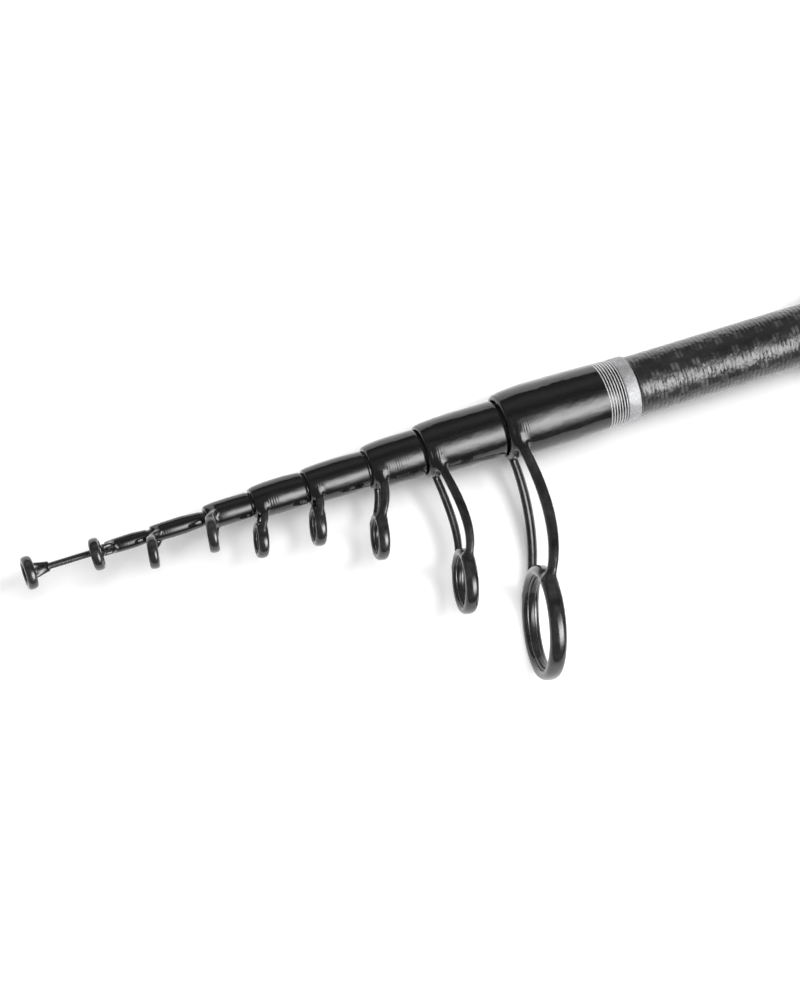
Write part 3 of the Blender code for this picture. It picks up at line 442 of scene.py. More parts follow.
def grid_mesh(points, closed=True):
    """A mesh over rings of points with shape (rings, sides, 3). closed joins the last ring to the first."""
    rings, sides = points.shape[:2]
    faces = []
    for i in range(rings if closed else rings - 1):
        for j in range(sides):
            i2, j2 = (i + 1) % rings, (j + 1) % sides
            faces.append((i * sides + j, i2 * sides + j, i2 * sides + j2, i * sides + j2))
    return new_mesh(points.reshape(-1, 3), faces, weld=True)


def full_turn(sides):
    """Angles round the rod, counted from the guides' side."""
    return np.linspace(0, 2 * math.pi, sides, endpoint=False)


def row(x, radius, turn):
    """One ring of points round the rod. radius is a number, or one for each angle."""
    return np.stack([np.full(len(turn), x), -radius * np.cos(turn), radius * np.sin(turn)], axis=1)


def turned(outline, sides=SIDES, closed=True, place=None):
    """Spins (x, radius) points round the X axis. place moves the result."""
    turn = full_turn(sides)
    points = np.array([row(x, radius, turn) for x, radius in outline])
    if place is not None:
        matrix = np.array(place)
        points = points @ matrix[:3, :3].T + matrix[:3, 3]
    return grid_mesh(points, closed)


def turned_behind(section, outline):
    """Spins (back, radius) points behind a section's mouth."""
    return turned([(back - section.mouth, radius) for back, radius in outline])


def rounded(corners, radius):
    """A polyline whose inner corners are rounded, as far as their edges allow."""
    steps, edge_share = 5, 0.45
    corners = [np.array(c, dtype=float) for c in corners]
    out = [corners[0]]
    for before, at, after in zip(corners, corners[1:], corners[2:]):
        a, b = before - at, after - at
        reach = min(radius, np.linalg.norm(a) * edge_share, np.linalg.norm(b) * edge_share)
        start = at + a / np.linalg.norm(a) * reach
        end = at + b / np.linalg.norm(b) * reach
        for t in np.linspace(0, 1, steps):
            out.append((1 - t) ** 2 * start + 2 * t * (1 - t) * at + t * t * end)
    out.append(corners[-1])
    return out


def surface(field, low, high, step):
    """Skins the zero level of a field over a grid, with a point in each cell that the level crosses."""
    low, high = np.array(low, dtype=float), np.array(high, dtype=float)
    count = np.ceil((high - low) / step).astype(int) + 1
    ticks = [low[a] + step * np.arange(count[a]) for a in range(3)]
    grid = np.stack(np.meshgrid(*ticks, indexing="ij"), axis=-1)
    value = np.array([field(layer) for layer in grid])

    # each grid edge that crosses the level gives a quad between the four cells round it
    cells = tuple(count - 1)
    total = np.zeros(cells + (3,))
    hits = np.zeros(cells)
    crossings = []
    for axis in range(3):
        first = value.take(range(count[axis] - 1), axis)
        second = value.take(range(1, count[axis]), axis)
        where = np.argwhere((first < 0) != (second < 0))
        f, s = first[tuple(where.T)], second[tuple(where.T)]
        point = where.astype(float)
        point[:, axis] += f / (f - s)
        u, v = [k for k in range(3) if k != axis]
        inside = ((where[:, [u, v]] > 0) & (where[:, [u, v]] < count[[u, v]] - 1)).all(axis=1)
        where, point, f = where[inside], point[inside], f[inside]
        corners = []
        for du, dv in ((0, 0), (-1, 0), (-1, -1), (0, -1)):
            cell = where.copy()
            cell[:, u] += du
            cell[:, v] += dv
            corners.append(cell)
            np.add.at(total, tuple(cell.T), point)
            np.add.at(hits, tuple(cell.T), 1.0)
        crossings.append((corners, f < 0))
    used = tuple(np.argwhere(hits > 0).T)
    ids = np.full(cells, -1)
    ids[used] = np.arange(len(used[0]))
    points = low + step * total[used] / hits[used][:, None]
    quads = []
    for corners, forward in crossings:
        quad = np.stack([ids[tuple(c.T)] for c in corners], axis=1)
        quads += [quad[forward], quad[~forward][:, ::-1]]
    return settled(field, points, step), np.concatenate(quads)


def settled(field, points, step):
    """Moves points exactly onto the zero level of a field, in three short steps along its slope."""
    probe, longest, least_slope = 0.05 * step, 0.5 * step, 0.15
    for _ in range(3):
        here = field(points)
        slope = [field(points + e) - field(points - e) for e in probe * np.eye(3)]
        slope = np.stack(slope, axis=-1) / (2 * probe)
        size = np.maximum((slope**2).sum(axis=-1, keepdims=True), least_slope)
        shift = here[:, None] * slope / size
        length = np.linalg.norm(shift, axis=1, keepdims=True)
        points = points - shift * np.minimum(1.0, longest / np.maximum(length, 1e-9))
    return points


def soft_min(a, b, k):
    """The smaller of two fields, with a fillet of size k."""
    h = np.maximum(k - np.abs(a - b), 0.0) / k
    return np.minimum(a, b) - h * h * k / 4


def soft_max(a, b, k):
    return -soft_min(-a, -b, k)


def to_world(points, mouth, twist):
    """A section's own points in the rod's frame."""
    w = math.radians(twist)
    back, out, side = points.T
    return np.stack([
        back - mouth,
        -out * math.cos(w) - side * math.sin(w),
        -out * math.sin(w) + side * math.cos(w),
    ], axis=1)


def guide_place(mouth, twist, ring):
    """Matrix from a guide ring's centre, with its axis still along the rod, to the rod's frame."""
    turn = Matrix.Rotation(math.radians(twist), 4, "X")
    return Matrix.Translation((-mouth, 0, 0)) @ turn @ Matrix.Translation((-ring.forward, -ring.distance, 0.0))


# ---------------- shapes of the sections

def lacquer(section):
    return LACQUER if section.number > 4 else FINE_LACQUER


def rear_radius(number):
    """Outer radius of a section's straight rear end."""
    return SECTIONS[number + 1].bore - SLIDE_GAP


def blank_radius(section, back):
    """Outer radius of a section's blank at a distance back from its mouth."""
    front = section.front_radius
    if section.number == 9:
        return front
    run = section.mouth - SETBACK - REAR_STOP - OVERLAP
    share = min(1.0, max(0.0, (back - SETBACK) / run))
    return front + (rear_radius(section.number) - front) * share


def sleeve_profile(section, back):
    """Radius of the bullet-nosed sleeve, for arrays of back."""
    nose, sleeve, bore = section.nose, section.sleeve, section.bore
    length = min(NOSE_STRETCH * nose.length, NOSE_LIMIT * sleeve.length)
    t = np.clip(back / length, 0.0, 1.0)
    bullet = nose.radius + (sleeve.radius - nose.radius) * (1 - (1 - t) ** 2) ** NOSE_POWER
    t = np.clip((back - length) / (sleeve.length - length), 0.0, 1.0)
    straight = sleeve.radius + (sleeve.rear_radius - sleeve.radius) * t
    groove = LIP_DEPTH * bore * np.exp(-(((back - LIP_PLACE * bore) / (LIP_WIDTH * bore)) ** 2))
    return np.where(back < length, bullet, straight) - groove


def leg_line(section):
    """Middle line of a leg, from inside the sleeve to inside the rim."""
    leg, ring = section.leg, section.ring
    angle, spread = math.radians(leg.angle), math.radians(leg.spread)
    base = float(sleeve_profile(section, np.array(leg.start))) - ROOT_SINK * section.bore
    root = np.array([leg.start, base * math.cos(angle), base * math.sin(angle)])
    seat = ring.radius - SEAT_SINK * ring.rim
    rise = seat * math.cos(spread)
    end = np.array([-ring.forward + rise * math.sin(LEAN), ring.distance - rise * math.cos(LEAN),
                    seat * math.sin(spread)])
    reach = np.linalg.norm(end - root)
    first, last = root + reach * LEG_FIRST, end + reach * LEG_LAST
    t = np.linspace(0, 1, LEG_POINTS)[:, None]
    s = 1 - t
    return s**3 * root + 3 * s * s * t * first + 3 * s * t * t * last + t**3 * end


def bar_field(p, line, half_width, half_thick, turn=0.0):
    """Distance to an oval bar along a line, slimmer at its ends. turn is the oval's, in radians."""
    best = np.full(p.shape[:-1], 1e9)
    parts = len(line) - 1
    for i, (a, b) in enumerate(zip(line, line[1:])):
        size = np.linalg.norm(b - a)
        along = (b - a) / size
        across = np.array([1.0, 0, 0]) - along * along[0]
        across /= np.linalg.norm(across)
        across = across * math.cos(turn) - np.cross(along, across) * math.sin(turn)
        through = np.cross(along, across)
        t = np.clip(((p - a) @ along) / size, 0.0, 1.0)
        d = p - a - t[..., None] * (b - a)
        swell = LEG_WAIST + (1.0 - LEG_WAIST) * np.sin(math.pi * (i + t) / parts)
        wide, thick = half_width * swell, half_thick * swell
        e = np.sqrt((d @ across / wide) ** 2 + (d @ through / thick) ** 2 + (d @ along / thick) ** 2)
        best = np.minimum(best, oval_distance(np.linalg.norm(d, axis=-1), e, half_thick))
    return best


def oval_distance(size, e, depth):
    """Distance to an oval, roughly. e is a point's share of the way out to it, and depth is for its centre."""
    return np.where(e > 1e-6, size * (1 - 1 / np.maximum(e, 1e-6)), -depth)


def ring_axes(p, ring):
    """How far a point is along a leaning ring's own axis, and its distance from that axis."""
    back = p[..., 0] + ring.forward
    out = p[..., 1] - ring.distance
    axial = back * math.cos(LEAN) + out * math.sin(LEAN)
    rise = back * math.sin(LEAN) - out * math.cos(LEAN)
    return axial, np.hypot(rise, p[..., 2])


def rim_of(ring):
    """The rim's cross-section. It is plump, and its insert sits in it."""
    deep = RIM_DEEP * (ring.rim + ring.insert)
    return Rim(RIM_WIDE * ring.width, deep, ring.radius - RIM_INSET * ring.rim - deep)


def rim_field(axial, radial, rim):
    rise = radial - rim.middle
    e = (np.abs(axial / rim.wide) ** RIM_POWER + np.abs(rise / rim.deep) ** RIM_POWER) ** (1 / RIM_POWER)
    return oval_distance(np.hypot(axial, rise), e, rim.deep)


def insert_seat(rim):
    """Half width of the insert's seat in a rim, and the seat's radius."""
    half = INSERT_SHARE * rim.wide
    inside = rim.middle - rim.deep * (1 - (half / rim.wide) ** RIM_POWER) ** (1 / RIM_POWER)
    return half, inside + INSERT_OVERLAP


def with_ring(body, axial, radial, ring, blend, reach):
    """Blends a ring's rim onto a body, and cuts the insert's hole. reach is the cut's, past the rim."""
    rim = rim_of(ring)
    body = soft_min(body, rim_field(axial, radial, rim), blend)
    hole = np.maximum(radial - insert_seat(rim)[1], np.abs(axial) - (ring.width / 2 + reach))
    return np.maximum(body, -hole)


def guide_field(section):
    """Distance to a guide's sleeve, legs and rim as one solid."""
    leg, ring, bore = section.leg, section.ring, section.bore
    line = leg_line(section)
    end = section.sleeve.length
    seat = blank_radius(section, end) + GLUE_GAP

    def field(p):
        p = np.array(p)
        p[..., 2] = np.abs(p[..., 2])
        back = p[..., 0]
        rho = np.hypot(p[..., 1], p[..., 2])
        shell = soft_max(rho - sleeve_profile(section, back), -back, MOUTH_ROUND * bore)
        legs = bar_field(p, line, leg.width / 2, leg.thickness / 2, LEG_TURN)
        body = soft_min(shell, legs, SHELL_BLEND * leg.width)
        body = with_ring(body, *ring_axes(p, ring), ring, RIM_BLEND * leg.width, 1.5)
        inner = np.where(back < SETBACK - 0.3, bore, seat)
        body = np.maximum(body, inner - rho)
        return np.maximum(body, back - end)

    return field


def guide_limits(section):
    """Corners of the box that a guide is skinned in."""
    ring, full = section.ring, section.sleeve.radius
    pad = section.grid * 3
    bow = max(ring.radius, full, np.abs(leg_line(section)[:, 2]).max() + section.leg.thickness)
    front = min(0.0, -ring.forward - ring.radius * math.sin(LEAN) - ring.width / 2)
    return ([front - pad, -full - pad, -bow - pad],
            [section.sleeve.length + pad, ring.distance + ring.radius + pad, bow + pad])


def insert_mesh(ring, place, sides):
    """A polished ceramic ring, rounded inside."""
    half, seat = insert_seat(rim_of(ring))
    depth = INSERT_OVERLAP + 0.25 * ring.insert
    outline = [(-half, seat)]
    for t in np.linspace(-1.0, 1.0, 25):
        outline.append((half * t, seat - depth * (1 - abs(t) ** 3.0) ** 0.5))
    outline.append((half, seat))
    return turned(outline, sides, True, place)


def seam_mesh(ring, place, sides):
    """The thin lips of a rim on both sides of its insert."""
    half, seat = insert_seat(rim_of(ring))
    lip = seat - 0.14
    outline = [(-half - 0.10, seat - 0.02), (-half - 0.05, lip), (-half + 0.06, lip), (-half + 0.06, seat),
               (half - 0.06, seat), (half - 0.06, lip), (half + 0.05, lip), (half + 0.10, seat - 0.02),
               (half, seat + 0.1), (-half, seat + 0.1)]
    return turned(outline, sides, True, place)


def add_guide(section):
    """A guide in lacquer on its sleeve and black metal on its legs and ring, with its insert."""
    sides = 96
    name, body = f"guide_{section.number}", section.body
    points, quads = surface(guide_field(section), *guide_limits(section), section.grid)
    mesh = new_mesh(to_world(points, section.mouth, section.twist), quads.tolist())
    middle = points[quads].mean(axis=1)
    rho = np.hypot(middle[:, 1], middle[:, 2])
    coat = sleeve_profile(section, middle[:, 0]) + COAT_REACH * section.leg.width
    bare = (rho >= coat) | (middle[:, 0] <= -1.0)
    add_piece(f"{name}_body", mesh, lacquer(section), body, f"{name}_frame", 55.0, GUIDE)
    mesh.polygons.foreach_set("material_index", bare.astype(np.int32))

    place = guide_place(section.mouth, section.twist, section.ring) @ Matrix.Rotation(-LEAN, 4, "Z")
    add_piece(f"{name}_ceramic", insert_mesh(section.ring, place, sides), CERAMIC, body,
              f"{name}_insert")
    # the rim's lips at the insert, whose pale metal paints the highlight along that edge
    add_piece(f"{name}_seam", seam_mesh(section.ring, place, sides), SEAM_HIGHLIGHT, body)


def add_wrap(section):
    """The lacquered winding, lapped over the sleeve and with a round shoulder behind."""
    start, front = section.sleeve.length, section.sleeve.rear_radius
    end, rear = section.wrap
    inner = blank_radius(section, end) + GLUE_GAP
    shoulder = 0.0 if section.number == 9 else min(rear - inner, 0.45)
    lap = min(2.0, 0.3 * start)
    power = 1.1 if front < 3.5 else 1.5  # the slim ones fall off almost evenly
    outline = [(start, inner), (start, front - 0.1), (start - lap, front - 0.02)]
    for t in np.linspace(0, 1, 30):
        back = start - lap + (end - start + lap) * t
        fall = max(0.0, (back - start) / (end - start))
        tail = max(0.0, (back - (end - 2.0 * shoulder)) / max(2.0 * shoulder, 0.01))
        drop = shoulder * (1 - math.sqrt(1 - min(tail, 0.98) ** 2))
        outline.append((back, front + 0.012 + (rear - front) * fall**power - drop))
    outline.append((end, inner))
    name = f"{section.body}_wrap"
    add_piece(f"{name}_lacquer", turned_behind(section, outline), lacquer(section), section.body,
              name, 60.0)


def add_blank(section):
    """A section's tube: the butt's is straight, and the others widen to their straight rear ends."""
    bore, front = section.bore, section.front_radius
    x0 = SETBACK - section.mouth
    if section.number == 9:
        outline = [(x0, bore), (x0, front), (-REAR_STOP, front), (-REAR_STOP, bore)]
        finish = WEAVE
    else:
        rear = rear_radius(section.number)
        outline = [(x0, bore), (x0, front), (-REAR_STOP - OVERLAP, rear), (-REAR_STOP, rear),
                   (-REAR_STOP, rear - section.wall), (x0 + OVERLAP, bore)]
        finish = CARBON
    name = f"{section.body}_blank"
    add_piece(f"{name}_tube", turned(outline), finish, section.body, name, 60.0)


def tip_field(tip):
    """Distance to the tip guide: a tube over the tip, two webs and a ring that stands square."""
    ring, end = tip.ring, tip.tube_front + tip.tube_length
    web, spread = 0.65, math.radians(24.0)
    collar_height, collar_half = 0.14, 0.3
    seat = ring.radius - ring.rim / 2
    root = np.array([end - tip.tube_radius, 0.0, tip.tube_radius * 0.7])
    on_ring = np.array([0.0, ring.distance - seat * math.cos(spread), seat * math.sin(spread)])
    line = np.array([root + (on_ring - root) * s for s in np.linspace(0, 1, 5)])

    def field(p):
        p = np.array(p)
        p[..., 2] = np.abs(p[..., 2])
        back = p[..., 0]
        rho = np.hypot(p[..., 1], p[..., 2])
        collar = collar_height * np.exp(-(((back - end + 0.4) / collar_half) ** 4))
        tube = soft_max(rho - tip.tube_radius - collar, tip.tube_front - back, 0.3)
        tube = soft_max(tube, back - end, 0.2)
        body = soft_min(tube, bar_field(p, line, web, web), 0.6)
        radial = np.hypot(p[..., 1] - ring.distance, p[..., 2])
        body = with_ring(body, back, radial, ring, 0.8, 0.5)
        bore = np.maximum(rho - (tip.radius + GLUE_GAP), tip.tube_front + ring.width / 2 - 0.3 - back)
        return np.maximum(body, -bore)

    return field


def add_tip(tip):
    """The solid tip section, and the guide on its end."""
    ring, body, pad = tip.ring, "section_1", 0.5
    end = tip.tube_front + tip.tube_length
    rear = rear_radius(1)
    rod = [(tip.tube_front + ring.width / 2 - tip.mouth, r) for r in (0.0, tip.radius)]
    rod += [(end - tip.mouth, tip.radius), (-REAR_STOP - OVERLAP, rear), (-REAR_STOP, rear), (-REAR_STOP, 0.0)]
    add_piece("section_1_rod", turned(rod, 40, False), CARBON, body, "section_1_blank", 60.0)

    low = [-ring.width / 2 - pad, -tip.tube_radius - pad, -ring.radius - pad]
    high = [end + pad, ring.distance + ring.radius + pad, ring.radius + pad]
    points, quads = surface(tip_field(tip), low, high, tip.grid)
    mesh = new_mesh(to_world(points, tip.mouth, tip.twist), quads.tolist())
    add_piece("tip_guide_body", mesh, GUIDE, body, "tip_top_frame", 55.0)
    mesh = insert_mesh(ring, guide_place(tip.mouth, tip.twist, ring), 72)
    add_piece("tip_guide_ceramic", mesh, CERAMIC, body, "tip_top_insert")


def add_silver():
    """Seven silver threads on a lacquered bed, and the foil band."""
    butt = SECTIONS[9]
    bed = [(26.42, BUTT_SEAT), (26.42, 8.20), (31.2, 8.06), (31.38, 7.96), (31.38, BUTT_SEAT)]
    add_piece("thread_bed", turned_behind(butt, bed), LACQUER, "butt")
    first, last, count, thick = 26.75, 31.05, 7, 0.15
    bm = bmesh.new()
    for i in range(count):
        back, radius = first + (last - first) / (count - 1) * i, 8.18 - 0.02 * i
        ring = [(back + thick * math.cos(t), radius + thick * math.sin(t)) for t in full_turn(12)]
        mesh = turned_behind(butt, ring)
        bm.from_mesh(mesh)
        bpy.data.meshes.remove(mesh)
    threads = bpy.data.meshes.new("threads")
    bm.to_mesh(threads)
    bm.free()
    add_piece("silver_threads", threads, THREAD, "butt", "silver_winding")
    band = rounded([(31.4, BUTT_SEAT), (31.4, 8.2), (34.8, 8.2), (34.8, BUTT_SEAT)], 0.35)
    add_piece("foil_band", turned_behind(butt, band), FOIL, "butt", "silver_band")
    edge = rounded([(34.82, BUTT_SEAT), (34.82, 8.0), (35.2, 7.9), (35.4, BUTT_SEAT + 0.02)], 0.15)
    add_piece("band_edge_lacquer", turned_behind(butt, edge), LACQUER, "butt")


# ---------------- handle

def add_grips():
    """Both foam grips, and the metal checks at their ends."""
    front, back, full, waist = -103.6, -15.5, 11.9, 1.1
    rear = [(-14.3, BUTT_SEAT), (-14.3, 10.9)]
    for t in np.linspace(0, 1, 30):
        rear.append((back + (front - back) * t, full - waist * math.sin(math.pi * t) ** 2))
    rear += [(-104.8, 10.9), (-104.8, BUTT_SEAT)]
    rear = rounded(rear[:3], 1.0) + rear[3:-3] + rounded(rear[-3:], 1.0)
    piece = add_piece("rear_grip_foam", turned(rear), FOAM, "butt", "rear_grip", 50.0)
    back, length, full, taper = -209.7, 14.3, 11.6, 2.4
    fore = [(-208.5, BUTT_SEAT), (-208.5, 10.6)]
    fore += rounded([(-208.5, 10.6), (back, full), (-211.0, full)], 1.0)
    for t in np.linspace(0.05, 1, 24):
        fore.append((back - length * t, full - taper * t**2))
    fore.append((back - length, BUTT_SEAT))
    piece = add_piece("fore_grip_foam", turned(fore), FOAM, "butt", "fore_grip", 50.0)
    check = rounded([(-108.0, BUTT_SEAT), (-108.0, 11.5), (-105.1, 11.5), (-105.1, BUTT_SEAT)], 0.45)
    add_piece("rear_check_ring", turned(check), SATIN, "butt", "rear_winding_check")
    check = rounded([(-227.3, BUTT_SEAT), (-227.3, 8.5), (-226.2, 8.9), (-224.3, 8.9), (-224.3, BUTT_SEAT)], 0.4)
    add_piece("front_check_ring", turned(check), SATIN, "butt", "front_winding_check")


def add_cap():
    """The threaded ferrule in the butt's end, and the rubber cap with its cushion."""
    root, crest, pitch = 9.0, 9.17, 0.8
    ferrule = [(-13.8, BUTT_SEAT)]
    for i in range(10):
        x = -13.6 + i * pitch
        ferrule += [(x, root), (x + 0.35, crest)]
    ferrule += [(-5.5, root), (-5.5, BUTT_SEAT)]
    add_piece("butt_thread", turned(ferrule), SATIN, "butt", "butt_ferrule", 30.0)
    full, inner, groove_root = 12.0, 9.32, 11.5
    cap = [(-2.5, 0.0), (-2.5, inner), (-14.0, inner), (-14.0, 11.6), (-13.5, full)]
    for x in (-10.6, -8.4, -6.2):
        cap += [(x - 0.7, full), (x - 0.35, groove_root), (x + 0.35, groove_root), (x + 0.7, full)]
    cap += rounded([(-4.0, full), (0.0, full), (0.0, 9.6)], 1.3)
    cap += [(0.0, 8.8), (-0.35, 8.5), (-0.35, 0.0)]
    add_piece("butt_cap_rubber", turned(cap, SIDES, False), RUBBER, "butt_cap", "butt_cap", 45.0)
    cushion = rounded([(-5.2, 0.0), (-5.2, 9.0), (-2.8, 9.0), (-2.8, 0.0)], 0.5)
    add_piece("cushion_pad", turned(cushion, 48, False), FOAM, "butt_cap", "cap_cushion")


SEAT_RADIUS = 9.4
SEAT_FLAT = 8.3  # distance of the reel foot's bed from the rod's axis
SCREW_FRONT, SCREW_REAR = -206.9, -166.0
SCREW_PITCH, SCREW_DEPTH, SCREW_FADE = 2.0, 0.42, 2.0


def seat_radius(x, turn):
    """Radius of the seat: round, with a flat towards the guides, and a screw thread on its round side."""
    c = np.cos(turn)
    radius = np.where(c > SEAT_FLAT / SEAT_RADIUS, SEAT_FLAT / np.maximum(c, 1e-6), SEAT_RADIUS)
    if not SCREW_FRONT < x < SCREW_REAR:
        return radius
    phase = (x / SCREW_PITCH + turn / (2 * math.pi)) % 1.0
    cut = SCREW_DEPTH * np.clip(1.6 * (1 - np.abs(2 * phase - 1)) - 0.5, 0, 1)
    fade = min(1.0, (SCREW_REAR - x) / SCREW_FADE, (x - SCREW_FRONT) / SCREW_FADE)
    on_round = np.clip((radius - 8.6) / 0.7, 0, 1)  # nothing is cut near the flat
    return radius - cut * fade * on_round


def add_seat_body():
    """The seat's body, and the rubber pad that the reel's foot lies on."""
    turn = full_turn(144)
    stations = np.concatenate([[-108.3], np.linspace(-109.0, SCREW_REAR, 30),
                               np.arange(-166.2, SCREW_FRONT, -0.125), [-207.4, -208.2]])
    rows = [row(stations[0], BUTT_SEAT, turn)]
    rows += [row(x, seat_radius(x, turn), turn) for x in stations]
    rows.append(row(stations[-1], BUTT_SEAT, turn))
    add_piece("reel_seat_shell", grid_mesh(np.array(rows)), PLASTIC, "butt", "reel_seat_body")

    middle, size = Vector((-142.5, -8.4, 0.0)), Vector((33.0, 0.6, 8.6))
    pad = bpy.data.meshes.new("bed")
    bm = bmesh.new()
    bmesh.ops.create_cube(bm, size=1.0)
    for v in bm.verts:
        v.co = (middle + v.co * size) * MM
    bmesh.ops.bevel(bm, geom=bm.edges, offset=0.18 * MM, segments=3, affect="EDGES", profile=0.6)
    bm.to_mesh(pad)
    bm.free()
    add_piece("reel_foot_pad", pad, RUBBER, "butt")


HOODS = (
    Hood("fixed_hood_shell", -124.3, 16.0, 1, 0.05, "butt", "fixed_hood"),
    Hood("sliding_hood_shell", -168.0, 18.0, -1, 0.1, "sliding_hood", "sliding_hood"),
)


def hood_field(p, hood):
    """Distance to a hood: a shell round the seat that swells over the pocket for the reel's foot."""
    radius, height, crest, droop = 11.1, 4.0, 11.5, 0.0067
    edge, inner_edge, pocket_edge = 0.8, 0.12, 0.35
    roof, floor, half_width, pocket = 13.8, 6.7, 6.2, 12.0
    depth = (p[..., 0] - hood.mouth) * hood.inward
    out, side = -p[..., 1], p[..., 2]
    rho = np.hypot(out, side)
    cosine = out / np.maximum(rho, 1e-6)
    fall = np.clip((depth - crest) / (hood.length - crest), 0.0, 1.0)
    swell = (1.0 - droop * np.clip(depth, 0.0, pocket)) * (0.5 + 0.5 * np.cos(math.pi * fall))
    outer = radius + height * swell * np.maximum(0.0, cosine)
    shell = soft_max(0.9 * (rho - outer), -depth, edge)
    shell = soft_max(shell, depth - hood.length, edge)
    inside = np.maximum(rho - (SEAT_RADIUS + hood.gap), out - (SEAT_FLAT + hood.gap))
    shell = soft_max(shell, -inside, inner_edge)
    room = np.maximum(rho - roof, np.abs(side) - half_width)
    room = np.maximum(np.maximum(room, floor - out), depth - pocket)
    return soft_max(shell, -room, pocket_edge)


def add_hood(hood):
    pad, step = 0.6, 0.28
    ends = sorted((hood.mouth - hood.inward * pad, hood.mouth + hood.inward * (hood.length + pad)))
    points, quads = surface(lambda p: hood_field(p, hood), [ends[0], -16.0, -12.0], [ends[1], 12.0, 12.0], step)
    mesh = new_mesh(points, quads.tolist())
    add_piece(hood.name, mesh, SATIN, hood.body, hood.node, 50.0)


def add_nut():
    """The lock nut, with a crossed knurl between two chamfers."""
    rear, length, inner, outer, chamfer = -186.3, 8.0, 9.5, 11.6, 0.8
    knurls, slant, deep, plain_edge, fade_over = 48, 0.45, 0.35, 0.9, 0.4
    turn = full_turn(288)
    share = turn * knurls / (2 * math.pi)
    rows = [row(rear, inner, turn)]
    for x in np.linspace(rear, rear - length, 45):
        edge = min(rear - x, length - (rear - x))
        fade = min(1.0, max(0.0, edge - plain_edge) / fade_over)
        grooves = [np.clip(np.abs(((share + way * x * slant) % 1.0) * 2 - 1) * 1.5 - 0.75, 0, 1)
                   for way in (1, -1)]
        rows.append(row(x, outer - max(0.0, chamfer - edge) - deep * fade * np.maximum(*grooves), turn))
    rows.append(row(rear - length, inner, turn))
    add_piece("lock_nut_knurled", grid_mesh(np.array(rows)), SATIN, "lock_nut", "lock_nut",
              35.0)


for section in SECTIONS.values():
    add_blank(section)
    add_wrap(section)
    add_guide(section)
add_tip(TIP)
add_silver()
add_grips()
add_cap()
add_seat_body()
for hood in HOODS:
    add_hood(hood)
add_nut()


# ---------------- floor, light and camera

FLOOR = -12.25  # mm
FLOOR_HALF = 6.0
FAR_REACH, FAR_LIFT = (0.2, 1.5), (0.15, 0.88)  # distance from the butt's end, and the lift there
FRONT_REACH, FRONT_PAINTED_LIGHT = (-0.022, -0.062), (0.0, 0.45)  # y, and the painted light there, which washes out the rings' shadows for the camera
WORLD_LIGHT = 0.13
BELL = 2.2  # a panel's glow falls as exp(-(BELL * h)^2), with h = 1 at its upper and lower edge
FAR_SOFT = 0.6  # soft share of a panel's +X end
TARGET = Vector((-0.36, -0.01, 0.0))  # what the lamps face, in the middle of the picture


def add_plane(name, half_x, half_y, material, z=0.0):
    """A rectangle that faces up."""
    mesh = bpy.data.meshes.new(name)
    corners = [(-half_x, -half_y, z), (half_x, -half_y, z), (half_x, half_y, z), (-half_x, half_y, z)]
    mesh.from_pydata(corners, [], [(0, 1, 2, 3)])
    mesh.materials.append(material)
    plane = bpy.data.objects.new(name, mesh)
    bpy.context.scene.collection.objects.link(plane)
    return plane


def add_floor():
    """A white table. The camera sees it lifted a little, and more far off; in front of the rings a painted light
    washes out their shadows.
    """
    look = Look("floor_white", base_color=(0.92, 0.92, 0.92), roughness=0.8, specular_ior_level=0.0,
                emission_color=(1.0, 1.0, 1.0))
    reach = look.node("ShaderNodeVectorMath", {0: look.place()}, operation="LENGTH").outputs["Value"]
    far = look.ramp(reach, *FAR_REACH, *FAR_LIFT, "SMOOTHSTEP")
    # painted light: in front of the rings the camera sees the floor lifted, which washes out their shadows there
    before = look.ramp(look.parts()[1], *FRONT_REACH, *FRONT_PAINTED_LIGHT, "SMOOTHSTEP")
    look.link(look.times(look.is_camera(), look.plus(far, before)), "Emission Strength")
    add_plane("floor", FLOOR_HALF, FLOOR_HALF, look.material, FLOOR * MM)


def add_softbox(name, location, size_x, size_y, strength, soft):
    """A soft-edged glowing panel that only gloss shows. soft is the share of its -X end that fades."""
    x, y = size_x / 2, size_y / 2
    material = bpy.data.materials.new(name)
    material.use_nodes = True
    nodes = Nodes(material.node_tree)
    nodes.tree.nodes.clear()
    across, up, _ = nodes.parts()
    height = nodes.times(up, BELL / y)
    bell = nodes.calc("EXPONENT", nodes.times(nodes.times(height, height), -1.0))
    ends = nodes.times(nodes.ramp(across, -x, -x * (1 - soft), curve="SMOOTHERSTEP"),
                       nodes.ramp(across, x, x * (1 - FAR_SOFT), curve="SMOOTHERSTEP"))
    glow = nodes.node("ShaderNodeEmission", {"Strength": nodes.times(nodes.times(ends, bell), strength)})
    nodes.node("ShaderNodeOutputMaterial", {0: glow.outputs[0]})
    panel = add_plane(name, x, y, material)
    ahead = (TARGET - Vector(location)).normalized()
    side = (Vector((1, 0, 0)) - ahead * ahead.x).normalized()
    axes = Matrix((side, ahead.cross(side), ahead)).transposed()
    panel.matrix_world = Matrix.Translation(location) @ axes.to_4x4()
    panel.visible_camera = False
    panel.visible_shadow = False
    panel.visible_diffuse = False


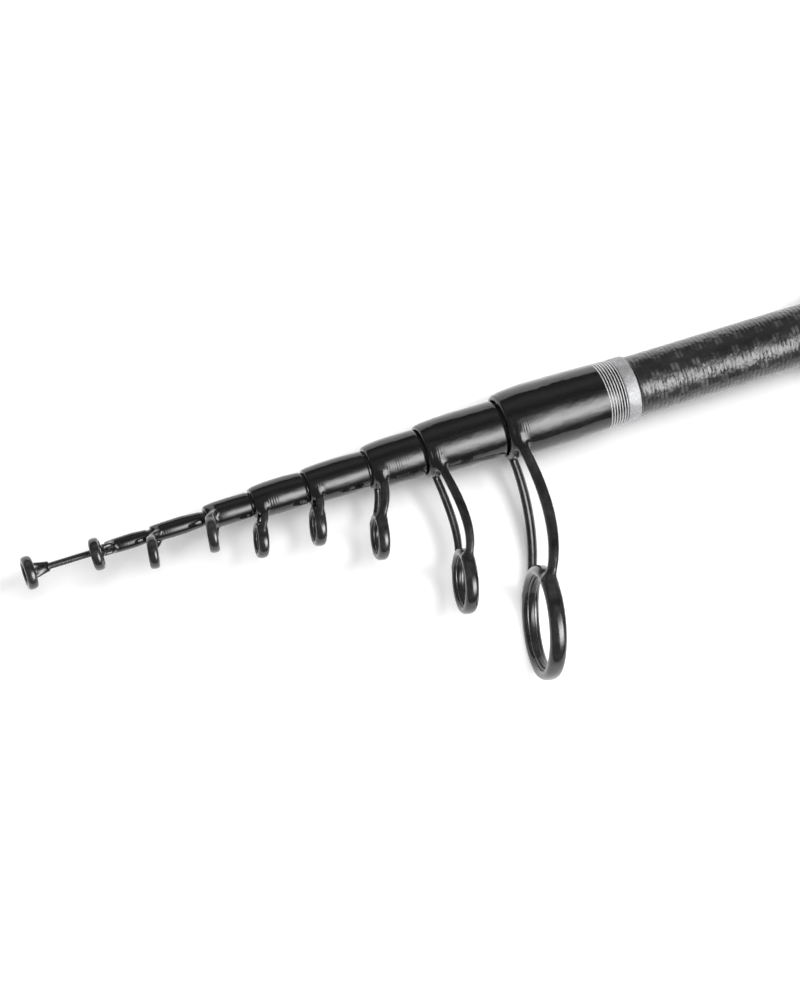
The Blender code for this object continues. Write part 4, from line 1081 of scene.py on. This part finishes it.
def add_lamp(name, location, size, power):
    """A round lamp that gloss doesn't show."""
    data = bpy.data.lights.new(name, "AREA")
    data.shape = "DISK"
    data.size = size
    data.energy = power
    lamp = bpy.data.objects.new(name, data)
    bpy.context.scene.collection.objects.link(lamp)
    lamp.location = location
    lamp.rotation_euler = (TARGET - lamp.location).to_track_quat("-Z", "Y").to_euler()
    lamp.visible_glossy = False
    lamp.visible_camera = False


def add_world():
    """Dim white light from all sides, and a white background for the camera."""
    world = bpy.data.worlds.new("studio")
    bpy.context.scene.world = world
    world.use_nodes = True
    nodes = Nodes(world.node_tree)
    back = nodes.tree.nodes["Background"]
    back.inputs["Color"].default_value = (1.0, 1.0, 1.0, 1.0)
    strength = nodes.ramp(nodes.is_camera(), 0.0, 1.0, WORLD_LIGHT, 1.0)
    nodes.tree.links.new(strength, back.inputs["Strength"])


def add_camera():
    """The photo's camera. Its right, up and forward come from the ellipses of the mouths and rings."""
    right = Vector((0.9265, -0.3180, 0.2001))
    up = Vector((0.2889, 0.9433, 0.1641))
    forward = Vector((0.241, 0.094, -0.966))
    focal, picture, sensor = 2700.0, 800.0, 36.0  # pixels, pixels, mm
    mouth = Vector((-0.315, 0.0, 0.0))  # of the butt, and where the photo has it: pixels from the middle
    mouth_right, mouth_up = 98.5, 72.5
    distance = 0.658
    data = bpy.data.cameras.new("camera")
    camera = bpy.data.objects.new("camera", data)
    bpy.context.scene.collection.objects.link(camera)
    matrix = Matrix((right, up, -forward)).transposed().to_4x4()
    ray = forward + (mouth_right / focal) * right + (mouth_up / focal) * up
    matrix.translation = mouth - distance * ray
    camera.matrix_world = matrix
    data.sensor_fit = "HORIZONTAL"
    data.sensor_width = sensor
    data.lens = sensor * focal / picture
    data.clip_start = 0.01
    bpy.context.scene.camera = camera


add_floor()
add_softbox("overhead_box", (0.97, -1.61, 2.40), 2.4, 5.4, 8.5, 0.30)
add_softbox("back_box", (-0.20, 1.00, 0.75), 2.4, 1.8, 0.25, 0.6)
add_lamp("key", (0.16, -0.04, 0.85), 0.26, 2.4)
add_lamp("fill", (-0.24, 0.09, 0.95), 0.8, 9.0)
add_world()
add_camera()
bpy.context.scene.view_settings.view_transform = "Standard"
